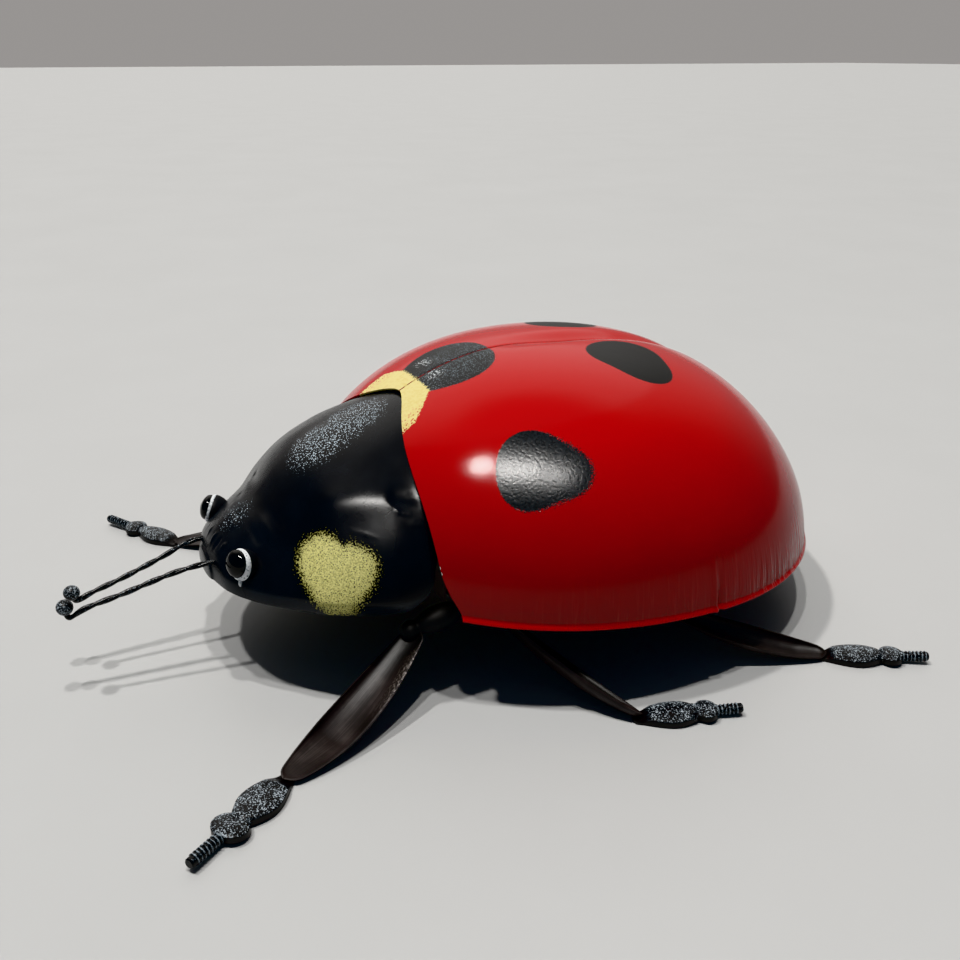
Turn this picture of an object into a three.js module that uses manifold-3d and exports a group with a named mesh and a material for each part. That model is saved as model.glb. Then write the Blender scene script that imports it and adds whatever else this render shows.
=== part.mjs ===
// Garden ladybird made of pressed and painted sheet steel: two wing-case halves, a hollow
// pronotum and head, button eyes, twisted-wire antennae and six legs of coxa, femur, tarsus and claw.
// Millimetres, +Z up. The head points to -Y and the ladybird's left side is +X.
import * as THREE from 'three';
import { mergeVertices } from 'three/addons/utils/BufferGeometryUtils.js';
import Module from 'manifold-3d';

const wasm = await Module();
wasm.setup();

// ---- driving dimensions ----
const sheetThickness = 1.2;
const jointGap = 0.4;

const dome = {
  halfWidth: 186,
  centreY: -25.6,
  reachFront: 204.4,
  reachRear: 188.5,
  planPower: 2.12,
  rimZ: 50,
  rise: 138.4,
  planFallPower: 2.46,
  riseFallPower: 1.68,
  tilt: -0.043,
  valleyDepth: 4.5,
  valleyWidth: 11,
  angleSteps: 28,
  ringSteps: 9,
};

const frontEdge = {
  planeY: -178.5,
  notchDepth: 22,
  notchWidth: 40,
  cornerX: 119,
  cornerRun: 19,
  cornerDepth: 10,
};

// Sections of the pronotum and head, from the wing cases to the snout:
// y, half width, height above the rim, and the power of the section's curve.
const headRimZ = 59;
const headStations = [
  [-158, 116, 102, 1.85],
  [-180, 118, 95, 1.85],
  [-205, 118, 88, 1.8],
  [-230, 109, 78, 1.7],
  [-248, 98.6, 64, 1.6],
  [-262, 86, 48.5, 1.5],
  [-276, 73, 39, 1.45],
  [-288, 58, 30, 1.5],
  [-296, 43, 21.5, 1.7],
  [-301, 25, 12.5, 1.9],
];
const snoutReach = 3;
const waistY = -264;
const hemHeight = 9;
const hemTurnIn = 2.5;
const rearCornerHeight = 22;
const rearCornerCut = 19;
const headMesh = { columns: 20, pronotumRows: 8, headRows: 10, noseRows: 3 };

const neckPlate = { y: -171.5, thickness: 1.5, bottomZ: 56, sideGap: 5 };
const strap = { width: 18, thickness: 3, frontY: -158, rearY: -66, frontZ: 58, rearZ: 54 };

const eye = {
  centre: [46, -286, 79],
  azimuth: 24,
  elevation: 18,
  radius: 10.5,
  footRadius: 6,
  sink: 12,
  sideDepth: 2.5,
  bandHeight: 3,
  pupilRadius: 8.4,
  capHeight: 3,
};

const antenna = { wireRadius: 1.9, ballRadius: 6, steps: 18, sides: 6 };
const antennaRoutes = {
  left: [
    [20, -288, 71.5], [18.9, -305, 70.7], [17.4, -327, 67.4], [15.7, -357, 59.6],
    [14.6, -380, 54.4], [14, -391, 49.6], [14, -393, 55],
  ],
  right: [
    [-20, -288, 71.6], [-19, -309, 71.4], [-17.6, -329, 65.4], [-16, -355, 57],
    [-14.8, -375, 49.8], [-14, -385.6, 45.4], [-14, -387.6, 50],
  ],
};
const antennaBalls = { left: [14, -393, 57.5], right: [-14, -387.7, 51.8] };

// Each leg from the strap to the floor: the two ends of its coxa, the hip where the femur starts
// under the coxa, the knee, how far the femur sags between them and how many degrees its outer lip
// is rolled up, the direction of the foot in plan, and the length of its claw.
const legs = {
  front: {
    coxa: [[110, -156, 54], [107.5, -202, 43.8]],
    hip: [114.3, -198.5, 39],
    knee: [167, -297, 4.4],
    sag: 8,
    roll: 0,
    foot: [41.5, -58.8],
    claw: 18.5,
  },
  middle: {
    coxa: [[67, -156, 54], [107, -132, 46]],
    hip: [104, -134, 40.5],
    knee: [206, -80, 4.4],
    sag: 2,
    roll: 20,
    foot: [22, 61],
    claw: 14,
  },
  hind: {
    coxa: [[137, -67, 50], [156, -24, 43]],
    hip: [155, -27, 38],
    knee: [204, 72, 4.4],
    sag: 4,
    roll: 8,
    foot: [34, 59],
    claw: 15,
  },
};
const femur = {
  halfWidth: 14.4,
  hipHalfWidth: 5.5,
  kneeHalfWidth: 4,
  depth: 8.5,
  tipDepth: 2.4,
  thickness: 1.1,
  widestAt: 0.62,
  floorGap: 0.8,
  steps: 9,
  sectionSteps: 4,
};
const foot = {
  start: 2.4,
  length: 49.5,
  longLobe: 33,
  longHalfWidth: 10.5,
  roundHalfWidth: 11.2,
  heelHalfWidth: 4,
  waistHalfWidth: 8,
  waistGroove: 1.8,
  wallHeight: 4,
  crown: 2.6,
  flatLength: 16,
  climb: 0.07,
  clawLift: 0.4,
  steps: 13,
};
const claw = { radius: 3, ribRadius: 3.4, ribPitch: 4, climb: 0.05, sides: 8 };
const coxa = {
  thicknessRatio: 0.9,
  bigAt: 0.47,
  bigRadius: 11,
  smallRadius: 7,
  stemHalfWidth: 4,
  steps: 10,
};

// ---- finishes ----
const redEnamel = new THREE.MeshStandardMaterial({ color: 0xb0070a, roughness: 0.22, metalness: 0 });
const blackEnamel = new THREE.MeshStandardMaterial({ color: 0x0d0e10, roughness: 0.35, metalness: 0 });
const brownBlackEnamel = new THREE.MeshStandardMaterial({ color: 0x231c1b, roughness: 0.5, metalness: 0 });
const speckledEnamel = new THREE.MeshStandardMaterial({ color: 0x3a3f45, roughness: 0.5, metalness: 0.2 });

// ---- mesh helpers ----
function toGeometry(triangles) {
  const positions = [];
  for (const [a, b, c] of triangles) {
    const area = new THREE.Vector3().subVectors(b, a).cross(new THREE.Vector3().subVectors(c, a)).length();
    if (area > 1e-6) positions.push(...a.toArray(), ...b.toArray(), ...c.toArray());
  }
  const soup = new THREE.BufferGeometry();
  soup.setAttribute('position', new THREE.Float32BufferAttribute(positions, 3));
  return mergeVertices(soup, 1e-3);
}

function quad(triangles, a, b, c, d) {
  triangles.push([a, b, c], [a, c, d]);
}

// A sheet between an outer and an inner skin, both given as point(i, j) over the same grid,
// with walls along its four borders. The outer skin faces along (di x dj).
function sheetGeometry(outer, inner, columns, rows) {
  const triangles = [];
  const grid = (point) => Array.from({ length: columns + 1 }, (_, i) =>
    Array.from({ length: rows + 1 }, (_, j) => point(i, j)));
  const out = grid(outer);
  const inn = grid(inner);
  for (let i = 0; i < columns; i += 1) {
    for (let j = 0; j < rows; j += 1) {
      quad(triangles, out[i][j], out[i + 1][j], out[i + 1][j + 1], out[i][j + 1]);
      quad(triangles, inn[i][j], inn[i][j + 1], inn[i + 1][j + 1], inn[i + 1][j]);
    }
    quad(triangles, out[i + 1][0], out[i][0], inn[i][0], inn[i + 1][0]);
    quad(triangles, out[i][rows], out[i + 1][rows], inn[i + 1][rows], inn[i][rows]);
  }
  for (let j = 0; j < rows; j += 1) {
    quad(triangles, out[0][j], out[0][j + 1], inn[0][j + 1], inn[0][j]);
    quad(triangles, out[columns][j + 1], out[columns][j], inn[columns][j], inn[columns][j + 1]);
  }
  return toGeometry(triangles);
}

// A closed body through a row of rings of equal length. A ring's end is closed by strips from
// side to side, which suits a pillow as well as a trough.
function loftGeometry(rings) {
  const triangles = [];
  const count = rings[0].length;
  for (let i = 0; i + 1 < rings.length; i += 1) {
    for (let j = 0; j < count; j += 1) {
      const k = (j + 1) % count;
      quad(triangles, rings[i][j], rings[i][k], rings[i + 1][k], rings[i + 1][j]);
    }
  }
  const first = rings[0];
  const last = rings[rings.length - 1];
  for (let j = 0; j < Math.floor((count - 1) / 2); j += 1) {
    const k = count - 1 - j;
    quad(triangles, first[j], first[k], first[k - 1], first[j + 1]);
    quad(triangles, last[j], last[j + 1], last[k - 1], last[k]);
  }
  return toGeometry(triangles);
}

function mirrored(geometry) {
  const copy = geometry.clone();
  copy.scale(-1, 1, 1);
  const index = copy.index.array;
  for (let i = 0; i < index.length; i += 3) [index[i], index[i + 1]] = [index[i + 1], index[i]];
  return copy;
}

function toSolid(geometry) {
  const bare = geometry.clone();
  bare.deleteAttribute('normal');
  bare.deleteAttribute('uv');
  const merged = mergeVertices(bare, 1e-4);
  return new wasm.Manifold(new wasm.Mesh({
    numProp: 3,
    vertProperties: new Float32Array(merged.attributes.position.array),
    triVerts: new Uint32Array(merged.index.array),
  }));
}

function fromSolid(solid) {
  const mesh = solid.getMesh();
  const geometry = new THREE.BufferGeometry();
  geometry.setAttribute('position', new THREE.Float32BufferAttribute(mesh.vertProperties, 3));
  geometry.setIndex(Array.from(mesh.triVerts));
  return geometry;
}

const signedPower = (value, power) => Math.sign(value) * Math.abs(value) ** power;
const smooth = (t) => t * t * (3 - 2 * t);

// ---- wing cases ----
function frontEdgeY(x) {
  const notch = frontEdge.notchDepth * Math.exp(-((x / frontEdge.notchWidth) ** 1.6));
  const corner = THREE.MathUtils.clamp((x - frontEdge.cornerX) / frontEdge.cornerRun, 0, 1);
  return frontEdge.planeY + notch + frontEdge.cornerDepth * corner ** 2;
}

function domePoint(angle, reach, inset) {
  const c = Math.cos(angle);
  const s = Math.sin(angle);
  const reachY = (s < 0 ? dome.reachFront : dome.reachRear) - inset;
  const x = (dome.halfWidth - inset) * reach * signedPower(c, 2 / dome.planPower);
  const dy = reachY * reach * signedPower(s, 2 / dome.planPower);
  const fall = Math.max(0, 1 - reach ** dome.planFallPower) ** (1 / dome.riseFallPower);
  const along = THREE.MathUtils.clamp((dy + 75) / 80, 0, 1);
  const valley = dome.valleyDepth * smooth(along) * fall * Math.exp(-((x / dome.valleyWidth) ** 2));
  const z = dome.rimZ + (dome.rise - inset) * fall + dome.tilt * dy - valley;
  return new THREE.Vector3(x, dome.centreY + dy, z);
}

// How far a ray from the dome's middle runs before it meets the front edge or the rim.
function domeReach(angle, inset) {
  let low = 0;
  let high = 1;
  const full = domePoint(angle, 1, inset);
  if (full.y >= frontEdgeY(full.x)) return 1;
  for (let i = 0; i < 40; i += 1) {
    const middle = (low + high) / 2;
    const point = domePoint(angle, middle, inset);
    if (point.y < frontEdgeY(point.x)) high = middle;
    else low = middle;
  }
  return low;
}

// The ray angle at which the front edge meets the rim, so that the corner is a point of the grid.
function cornerAngle(inset) {
  let low = -Math.PI / 2;
  let high = 0;
  for (let i = 0; i < 40; i += 1) {
    const middle = (low + high) / 2;
    const point = domePoint(middle, 1, inset);
    if (point.y < frontEdgeY(point.x)) low = middle;
    else high = middle;
  }
  return high;
}

function wingCaseGeometry() {
  const edgeSteps = Math.round(dome.angleSteps * 0.38);
  const skin = (inset) => (i, j) => {
    const corner = cornerAngle(inset);
    const angle = i <= edgeSteps
      ? THREE.MathUtils.lerp(-Math.PI / 2, corner, i / edgeSteps)
      : THREE.MathUtils.lerp(corner, Math.PI / 2, (i - edgeSteps) / (dome.angleSteps - edgeSteps));
    const limit = domeReach(angle, inset);
    const turn = Math.asin(Math.min(1, limit ** (dome.planFallPower / 2))) * (j / dome.ringSteps);
    const reach = j === dome.ringSteps ? limit : Math.sin(turn) ** (2 / dome.planFallPower);
    const point = domePoint(angle, reach, inset);
    const onSeam = i === 0 || i === dome.angleSteps || j === 0;
    point.x = (onSeam ? 0 : point.x) + jointGap / 2;
    return point;
  };
  const outer = skin(0);
  const inner = skin(sheetThickness);
  return sheetGeometry((i, j) => outer(i, dome.ringSteps - j), (i, j) => inner(i, dome.ringSteps - j),
    dome.angleSteps, dome.ringSteps);
}

// ---- pronotum and head ----
function headSection(y) {
  const last = headStations.length - 1;
  let index = 0;
  while (index < last - 1 && y < headStations[index + 1][0]) index += 1;
  const a = headStations[index];
  const b = headStations[index + 1];
  const t = THREE.MathUtils.clamp((a[0] - y) / (a[0] - b[0]), 0, 1);
  const slope = (k, n) => {
    if (n <= 0 || n >= last) return 0;
    const before = headStations[n - 1];
    const after = headStations[n + 1];
    return (after[k] - before[k]) / (after[0] - before[0]);
  };
  const span = b[0] - a[0];
  return [1, 2, 3].map((k) => {
    const startSlope = index === 0 ? (b[k] - a[k]) / span : slope(k, index);
    const endSlope = index + 1 === last ? (b[k] - a[k]) / span : slope(k, index + 1);
    return (2 * t ** 3 - 3 * t ** 2 + 1) * a[k] + (t ** 3 - 2 * t ** 2 + t) * span * startSlope
      + (-2 * t ** 3 + 3 * t ** 2) * b[k] + (t ** 3 - t ** 2) * span * endSlope;
  });
}

// A point of the head's skin. The section starts with the turned-in hem and then follows the arch.
function headPoint(y, across, shrink, inset) {
  const [halfWidth, height, power] = headSection(y);
  const angle = Math.PI * across;
  const width = Math.max(0.2, (halfWidth - inset) * shrink);
  const rise = Math.max(0.2, (height - inset) * shrink);
  const x = width * signedPower(Math.cos(angle), 2 / power);
  const z = rise * Math.abs(Math.sin(angle)) ** (2 / power);
  const hem = Math.max(0, 1 - z / hemHeight) * hemTurnIn * shrink;
  return new THREE.Vector3(x - Math.sign(x) * Math.min(hem, Math.abs(x)), y, headRimZ + z);
}

function rearEdgeY(across, inset) {
  const point = headPoint(frontEdge.planeY, across, 1, inset);
  const lift = Math.max(0, 1 - (point.z - headRimZ) / rearCornerHeight);
  return frontEdgeY(Math.min(Math.abs(point.x), frontEdge.cornerX)) - 2 * jointGap
    - rearCornerCut * lift ** 2.2;
}

function pronotumGeometry() {
  const { columns, pronotumRows } = headMesh;
  const skin = (inset) => (i, j) => {
    const across = i / columns;
    const y = THREE.MathUtils.lerp(rearEdgeY(across, inset), waistY + jointGap / 2, j / pronotumRows);
    return headPoint(y, across, 1, inset);
  };
  return sheetGeometry(skin(0), skin(sheetThickness), columns, pronotumRows);
}

// The head's skin from the waist on. The snout closes in a quarter ellipse ahead of the last section.
function headSkin(inset) {
  const { columns, headRows, noseRows } = headMesh;
  const startY = waistY - jointGap / 2;
  const lastY = headStations[headStations.length - 1][0];
  const openRows = headRows - noseRows;
  return (i, j) => {
    if (j <= openRows) {
      return headPoint(THREE.MathUtils.lerp(startY, lastY, j / openRows), i / columns, 1, inset);
    }
    const turn = ((j - openRows) / noseRows) * (Math.PI / 2);
    const point = headPoint(lastY, i / columns, Math.cos(turn), inset);
    if (j === headRows) point.set(0, lastY, headRimZ + 0.2);
    point.y = lastY - (snoutReach - inset) * Math.sin(turn);
    return point;
  };
}

function headGeometry() {
  return sheetGeometry(headSkin(0), headSkin(sheetThickness), headMesh.columns, headMesh.headRows);
}

// The head filled solid and grown by the joint gap, to cut the foot of what stands on it.
function headCutter() {
  const { columns, headRows } = headMesh;
  const point = headSkin(-jointGap);
  const floor = (p) => new THREE.Vector3(p.x, p.y, headRimZ - 40);
  const triangles = [];
  for (let i = 0; i < columns; i += 1) {
    for (let j = 0; j < headRows; j += 1) {
      quad(triangles, point(i, j), point(i + 1, j), point(i + 1, j + 1), point(i, j + 1));
    }
  }
  for (let j = 0; j < headRows; j += 1) {
    const [a, b, c, d] = [point(0, j), point(0, j + 1), point(columns, j + 1), point(columns, j)];
    quad(triangles, a, b, floor(b), floor(a));
    quad(triangles, c, d, floor(d), floor(c));
    quad(triangles, floor(a), floor(b), floor(c), floor(d));
  }
  const [left, right] = [point(0, 0), point(columns, 0)];
  for (let i = 1; i < columns; i += 1) triangles.push([left, point(i + 1, 0), point(i, 0)]);
  quad(triangles, left, floor(left), floor(right), right);
  return toSolid(toGeometry(triangles));
}

// ---- neck plate and straps ----
// Height of the shell's inner skin over a point of the plan, or 0 outside the rim.
function shellCeiling(x, y) {
  const dy = y - dome.centreY;
  const reachY = (dy < 0 ? dome.reachFront : dome.reachRear) - sheetThickness;
  const plan = (Math.abs(x / (dome.halfWidth - sheetThickness)) ** dome.planPower
    + Math.abs(dy / reachY) ** dome.planPower) ** (1 / dome.planPower);
  if (plan >= 1) return 0;
  const fall = (1 - plan ** dome.planFallPower) ** (1 / dome.riseFallPower);
  return dome.rimZ + dome.tilt * dy + (dome.rise - sheetThickness) * fall;
}

// Bulkhead across the front opening of the shell, under both the pronotum and the wing cases.
function neckPlateGeometry() {
  const shape = new THREE.Shape();
  const steps = 20;
  for (let i = 0; i <= steps; i += 1) {
    const point = headPoint(neckPlate.y, i / steps, 1, neckPlate.sideGap + sheetThickness);
    const ceiling = shellCeiling(point.x, neckPlate.y) - neckPlate.sideGap;
    const z = i === 0 || i === steps ? neckPlate.bottomZ : Math.min(point.z, ceiling);
    if (i === 0) shape.moveTo(point.x, z);
    else shape.lineTo(point.x, z);
  }
  const geometry = new THREE.ExtrudeGeometry(shape, { depth: neckPlate.thickness, bevelEnabled: false });
  geometry.rotateX(Math.PI / 2);
  geometry.translate(0, neckPlate.y + neckPlate.thickness, 0);
  return geometry;
}

function shellHalfWidthAt(y, z) {
  let low = 0;
  let high = dome.halfWidth;
  for (let i = 0; i < 40; i += 1) {
    const x = (low + high) / 2;
    if (shellCeiling(x, y) > z) low = x;
    else high = x;
  }
  return low;
}

// A flat bar from wall to wall of the shell, cut square just short of it.
function strapGeometry(y, z) {
  const narrow = Math.min(...[-1, 1].map((side) =>
    shellHalfWidthAt(y + side * strap.width / 2, z + strap.thickness)));
  const geometry = new THREE.BoxGeometry(2 * (narrow - 2 * jointGap), strap.width, strap.thickness);
  geometry.translate(0, y, z + strap.thickness / 2);
  return geometry;
}

// ---- eyes and antennae ----
function eyeGeometry(cutter) {
  const profile = [
    [0, -eye.sink],
    [eye.footRadius, -eye.sink],
    [eye.radius, -eye.sideDepth],
    [eye.radius, 0],
    [eye.pupilRadius, eye.bandHeight],
    [eye.pupilRadius * 0.6, eye.bandHeight + eye.capHeight * 0.75],
    [0, eye.bandHeight + eye.capHeight],
  ].map(([r, h]) => new THREE.Vector2(r, h));
  const geometry = new THREE.LatheGeometry(profile, 16);
  const azimuth = THREE.MathUtils.degToRad(eye.azimuth);
  const elevation = THREE.MathUtils.degToRad(eye.elevation);
  const axis = new THREE.Vector3(Math.sin(azimuth) * Math.cos(elevation),
    -Math.cos(azimuth) * Math.cos(elevation), Math.sin(elevation));
  geometry.applyQuaternion(new THREE.Quaternion().setFromUnitVectors(new THREE.Vector3(0, 1, 0), axis));
  geometry.translate(...eye.centre);
  return fromSolid(toSolid(geometry).subtract(cutter));
}

function antennaGeometry(route, ball, cutter) {
  const circle = new THREE.Shape();
  circle.absarc(0, 0, antenna.wireRadius, 0, Math.PI * 2);
  const curve = new THREE.CatmullRomCurve3(route.map((p) => new THREE.Vector3(...p)), false, 'centripetal');
  const wire = new THREE.ExtrudeGeometry(circle, {
    steps: antenna.steps, curveSegments: antenna.sides / 2, extrudePath: curve,
  });
  const grownBall = new THREE.SphereGeometry(antenna.ballRadius + jointGap, 12, 8);
  grownBall.translate(...ball);
  return fromSolid(toSolid(wire).subtract(cutter).subtract(toSolid(grownBall)));
}

// ---- legs ----
function legFrame(from, to) {
  const along = new THREE.Vector3().subVectors(to, from);
  const length = along.length();
  along.normalize();
  const side = new THREE.Vector3().crossVectors(along, new THREE.Vector3(0, 0, 1)).normalize();
  const up = new THREE.Vector3().crossVectors(side, along);
  return { along, side, up, length };
}

// Leaf-shaped trough, open upward, from the hip to the knee.
function femurGeometry(leg) {
  const hip = new THREE.Vector3(...leg.hip);
  const knee = new THREE.Vector3(...leg.knee);
  const { along, side, up, length } = legFrame(hip, knee);
  const roll = -THREE.MathUtils.degToRad(leg.roll);
  side.applyAxisAngle(along, roll);
  up.applyAxisAngle(along, roll);
  const rings = [];
  for (let i = 0; i <= femur.steps; i += 1) {
    const t = i / femur.steps;
    const peak = t < femur.widestAt
      ? Math.sin((t / femur.widestAt) * (Math.PI / 2)) ** 0.9
      : Math.cos(((t - femur.widestAt) / (1 - femur.widestAt)) * (Math.PI / 2)) ** 0.5;
    const endHalfWidth = t < femur.widestAt ? femur.hipHalfWidth : femur.kneeHalfWidth;
    const halfWidth = THREE.MathUtils.lerp(endHalfWidth, femur.halfWidth, peak);
    const centre = hip.clone().addScaledVector(along, t * length).addScaledVector(up, -leg.sag * peak);
    const depth = Math.min(THREE.MathUtils.lerp(femur.tipDepth, femur.depth, peak),
      (centre.z - femur.floorGap) / up.z);
    const ring = [];
    const arc = (inset, direction) => {
      for (let k = 0; k <= femur.sectionSteps; k += 1) {
        const turn = (direction > 0 ? k : femur.sectionSteps - k) / femur.sectionSteps;
        const angle = Math.PI * (1 + turn);
        ring.push(centre.clone()
          .addScaledVector(side, (halfWidth - inset) * Math.cos(angle))
          .addScaledVector(up, (depth - inset) * Math.sin(angle)));
      }
    };
    arc(0, 1);
    arc(femur.thickness, -1);
    rings.push(ring);
  }
  rings.reverse();
  return loftGeometry(rings);
}

function footHalfWidth(s) {
  if (s <= foot.longLobe) {
    const bulge = Math.sin(Math.PI * Math.min(1, s / foot.longLobe * 0.86 + 0.02)) ** 0.75;
    return THREE.MathUtils.lerp(foot.heelHalfWidth, foot.longHalfWidth, bulge);
  }
  const t = (s - foot.longLobe) / (foot.length - foot.longLobe);
  const round = Math.sqrt(Math.max(0, 1 - (2 * t - 0.95) ** 2));
  const tip = t > 0.9 ? 0.8 : 1;
  return THREE.MathUtils.lerp(foot.waistHalfWidth, foot.roundHalfWidth, round) * tip;
}

// Flat-bottomed pillow in two lobes: it lies flat on the floor at the heel and climbs to the claw.
function tarsusGeometry(leg) {
  const direction = new THREE.Vector3(leg.foot[0], leg.foot[1], 0).normalize();
  const side = new THREE.Vector3(direction.y, -direction.x, 0);
  const start = new THREE.Vector3(leg.knee[0], leg.knee[1], 0).addScaledVector(direction, foot.start);
  const rings = [];
  for (let i = 0; i <= foot.steps; i += 1) {
    const s = (i / foot.steps) * foot.length;
    const halfWidth = footHalfWidth(s);
    const bottom = Math.max(0, s - foot.flatLength) * foot.climb;
    const groove = Math.exp(-(((s - foot.longLobe) / 3) ** 2)) * foot.waistGroove;
    const crown = foot.crown * (halfWidth / foot.longHalfWidth) - groove;
    const centre = start.clone().addScaledVector(direction, s);
    const place = (w, z) => centre.clone().addScaledVector(side, w * halfWidth).setZ(bottom + z);
    const wall = foot.wallHeight;
    rings.push([
      place(-0.92, 0), place(-1, wall * 0.5), place(-0.86, wall), place(-0.45, wall + crown * 0.8),
      place(0, wall + crown), place(0.45, wall + crown * 0.8), place(0.86, wall), place(1, wall * 0.5),
      place(0.92, 0),
    ]);
  }
  return loftGeometry(rings);
}

// Ribbed bar, like a stub of reinforcing rod.
function clawGeometry(leg) {
  const profile = [new THREE.Vector2(0, 0), new THREE.Vector2(claw.radius, 0)];
  const pitch = claw.ribPitch;
  for (let at = pitch / 2; at < leg.claw - pitch; at += pitch) {
    profile.push(new THREE.Vector2(claw.radius, at), new THREE.Vector2(claw.ribRadius, at + pitch * 0.3),
      new THREE.Vector2(claw.radius, at + pitch * 0.6));
  }
  profile.push(new THREE.Vector2(claw.radius, leg.claw), new THREE.Vector2(0, leg.claw));
  const geometry = new THREE.LatheGeometry(profile, claw.sides);
  const direction = new THREE.Vector3(leg.foot[0], leg.foot[1], 0).normalize();
  const axis = direction.clone().setZ(claw.climb).normalize();
  geometry.applyQuaternion(new THREE.Quaternion().setFromUnitVectors(new THREE.Vector3(0, 1, 0), axis));
  const start = new THREE.Vector3(leg.knee[0], leg.knee[1], 0)
    .addScaledVector(direction, foot.start + foot.length + jointGap);
  const height = (foot.length - foot.flatLength) * foot.climb + foot.wallHeight * foot.clawLift;
  geometry.translate(start.x, start.y, height);
  return geometry;
}

// Pillow in two lobes between strap and femur.
function coxaGeometry(leg) {
  const [from, to] = leg.coxa.map((p) => new THREE.Vector3(...p));
  const { along, side, up, length } = legFrame(from, to);
  const bigAt = length * coxa.bigAt;
  const smallAt = length - coxa.smallRadius;
  const rings = [];
  for (let i = 0; i <= coxa.steps; i += 1) {
    const s = (i / coxa.steps) * length;
    const lobe = (at, radius) => Math.sqrt(Math.max(0, radius ** 2 - (s - at) ** 2));
    const halfWidth = Math.max(lobe(bigAt, coxa.bigRadius), lobe(smallAt, coxa.smallRadius),
      coxa.stemHalfWidth);
    const half = halfWidth * coxa.thicknessRatio / 2;
    const centre = from.clone().addScaledVector(along, s);
    const place = (w, z) => centre.clone().addScaledVector(side, w * halfWidth).addScaledVector(up, z);
    rings.push([
      place(-0.75, -half * 0.8), place(-1, 0), place(-0.75, half * 0.8), place(0, half),
      place(0.75, half * 0.8), place(1, 0), place(0.75, -half * 0.8), place(0, -half),
    ]);
  }
  return loftGeometry(rings);
}

// ---- assembly ----
const figure = new THREE.Group();

function addPiece(name, geometry, material) {
  const mesh = new THREE.Mesh(geometry, material);
  mesh.name = name;
  figure.add(mesh);
}

const cutter = headCutter();

const wingCase = wingCaseGeometry();
addPiece('wing_case_left', wingCase, redEnamel);
addPiece('wing_case_right', mirrored(wingCase), redEnamel);
addPiece('pronotum', pronotumGeometry(), blackEnamel);
addPiece('head', headGeometry(), blackEnamel);
addPiece('neck_plate', neckPlateGeometry(), blackEnamel);
addPiece('front_strap', strapGeometry(strap.frontY, strap.frontZ), blackEnamel);
addPiece('rear_strap', strapGeometry(strap.rearY, strap.rearZ), blackEnamel);

const eyeLeft = eyeGeometry(cutter);
addPiece('eye_left', eyeLeft, blackEnamel);
addPiece('eye_right', mirrored(eyeLeft), blackEnamel);

for (const side of ['left', 'right']) {
  addPiece(`antenna_${side}`, antennaGeometry(antennaRoutes[side], antennaBalls[side], cutter), blackEnamel);
  const ball = new THREE.SphereGeometry(antenna.ballRadius, 12, 8);
  ball.translate(...antennaBalls[side]);
  addPiece(`antenna_ball_${side}`, ball, speckledEnamel);
}

for (const [place, leg] of Object.entries(legs)) {
  const pieces = {
    coxa: [coxaGeometry(leg), blackEnamel],
    femur: [femurGeometry(leg), brownBlackEnamel],
    tarsus: [tarsusGeometry(leg), speckledEnamel],
    claw: [clawGeometry(leg), blackEnamel],
  };
  for (const [part, [geometry, material]] of Object.entries(pieces)) {
    addPiece(`${place}_left_${part}`, geometry, material);
    addPiece(`${place}_right_${part}`, mirrored(mergeVertices(geometry, 1e-3)), material);
  }
}

// The origin is under the middle of the figure's length, on the floor.
const frontY = antennaBalls.left[1] - antenna.ballRadius;
const rearY = dome.centreY + dome.reachRear;
figure.position.y = -(frontY + rearY) / 2;

export default figure;
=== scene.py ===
import bpy
import functools
import math
from mathutils import Matrix, Vector, noise


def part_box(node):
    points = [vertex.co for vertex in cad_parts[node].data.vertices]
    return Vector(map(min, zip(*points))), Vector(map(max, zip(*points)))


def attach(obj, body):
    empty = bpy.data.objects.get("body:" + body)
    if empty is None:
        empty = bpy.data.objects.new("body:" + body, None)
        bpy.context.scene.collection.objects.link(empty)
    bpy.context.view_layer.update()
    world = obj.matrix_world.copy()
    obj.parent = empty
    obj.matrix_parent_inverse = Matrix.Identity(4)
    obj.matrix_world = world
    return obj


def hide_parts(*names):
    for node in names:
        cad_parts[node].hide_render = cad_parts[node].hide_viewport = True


# Garden ladybird of pressed sheet steel, painted by hand. Shapes are in millimetres until toPart.
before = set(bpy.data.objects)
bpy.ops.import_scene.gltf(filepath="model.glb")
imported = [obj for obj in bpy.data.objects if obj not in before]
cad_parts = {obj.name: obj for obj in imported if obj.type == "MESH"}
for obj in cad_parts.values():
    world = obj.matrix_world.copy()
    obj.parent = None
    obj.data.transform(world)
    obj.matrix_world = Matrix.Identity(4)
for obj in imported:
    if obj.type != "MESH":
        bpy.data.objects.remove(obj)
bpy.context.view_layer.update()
print("frame loaded:", len(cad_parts), "nodes")

mm = 0.001
weldDistance = 0.02


# small tools

def deselectAll():
    if bpy.context.object and bpy.context.object.mode != "OBJECT":
        bpy.ops.object.mode_set(mode="OBJECT")
    bpy.ops.object.select_all(action="DESELECT")


def activate(*pieces):
    deselectAll()
    for piece in pieces:
        piece.select_set(True)
    bpy.context.view_layer.objects.active = pieces[0]


def named(name):
    piece = bpy.context.object
    piece.name = name
    piece.data.name = name
    return piece


def applyAll(piece):
    activate(piece)
    for modifier in list(piece.modifiers):
        bpy.ops.object.modifier_apply(modifier=modifier.name)


def smoothed(piece, angle):
    activate(piece)
    bpy.ops.object.shade_smooth_by_angle(angle=math.radians(angle))


def thickened(piece, sheet, offset, inner=0):
    # inner counts on to the material that the inside of the sheet gets
    thick = piece.modifiers.new("sheet", "SOLIDIFY")
    thick.thickness = sheet * mm
    thick.offset = offset
    thick.material_offset = inner
    applyAll(piece)
    smoothed(piece, 50)


def editAll():
    bpy.ops.object.mode_set(mode="EDIT")
    bpy.ops.mesh.select_all(action="SELECT")


def clamp(value, low=0.0, high=1.0):
    return max(low, min(high, value))


def smooth(t):
    t = clamp(t)
    return t * t * (3 - 2 * t)


def lerp(a, b, t):
    return a + (b - a) * t


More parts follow.
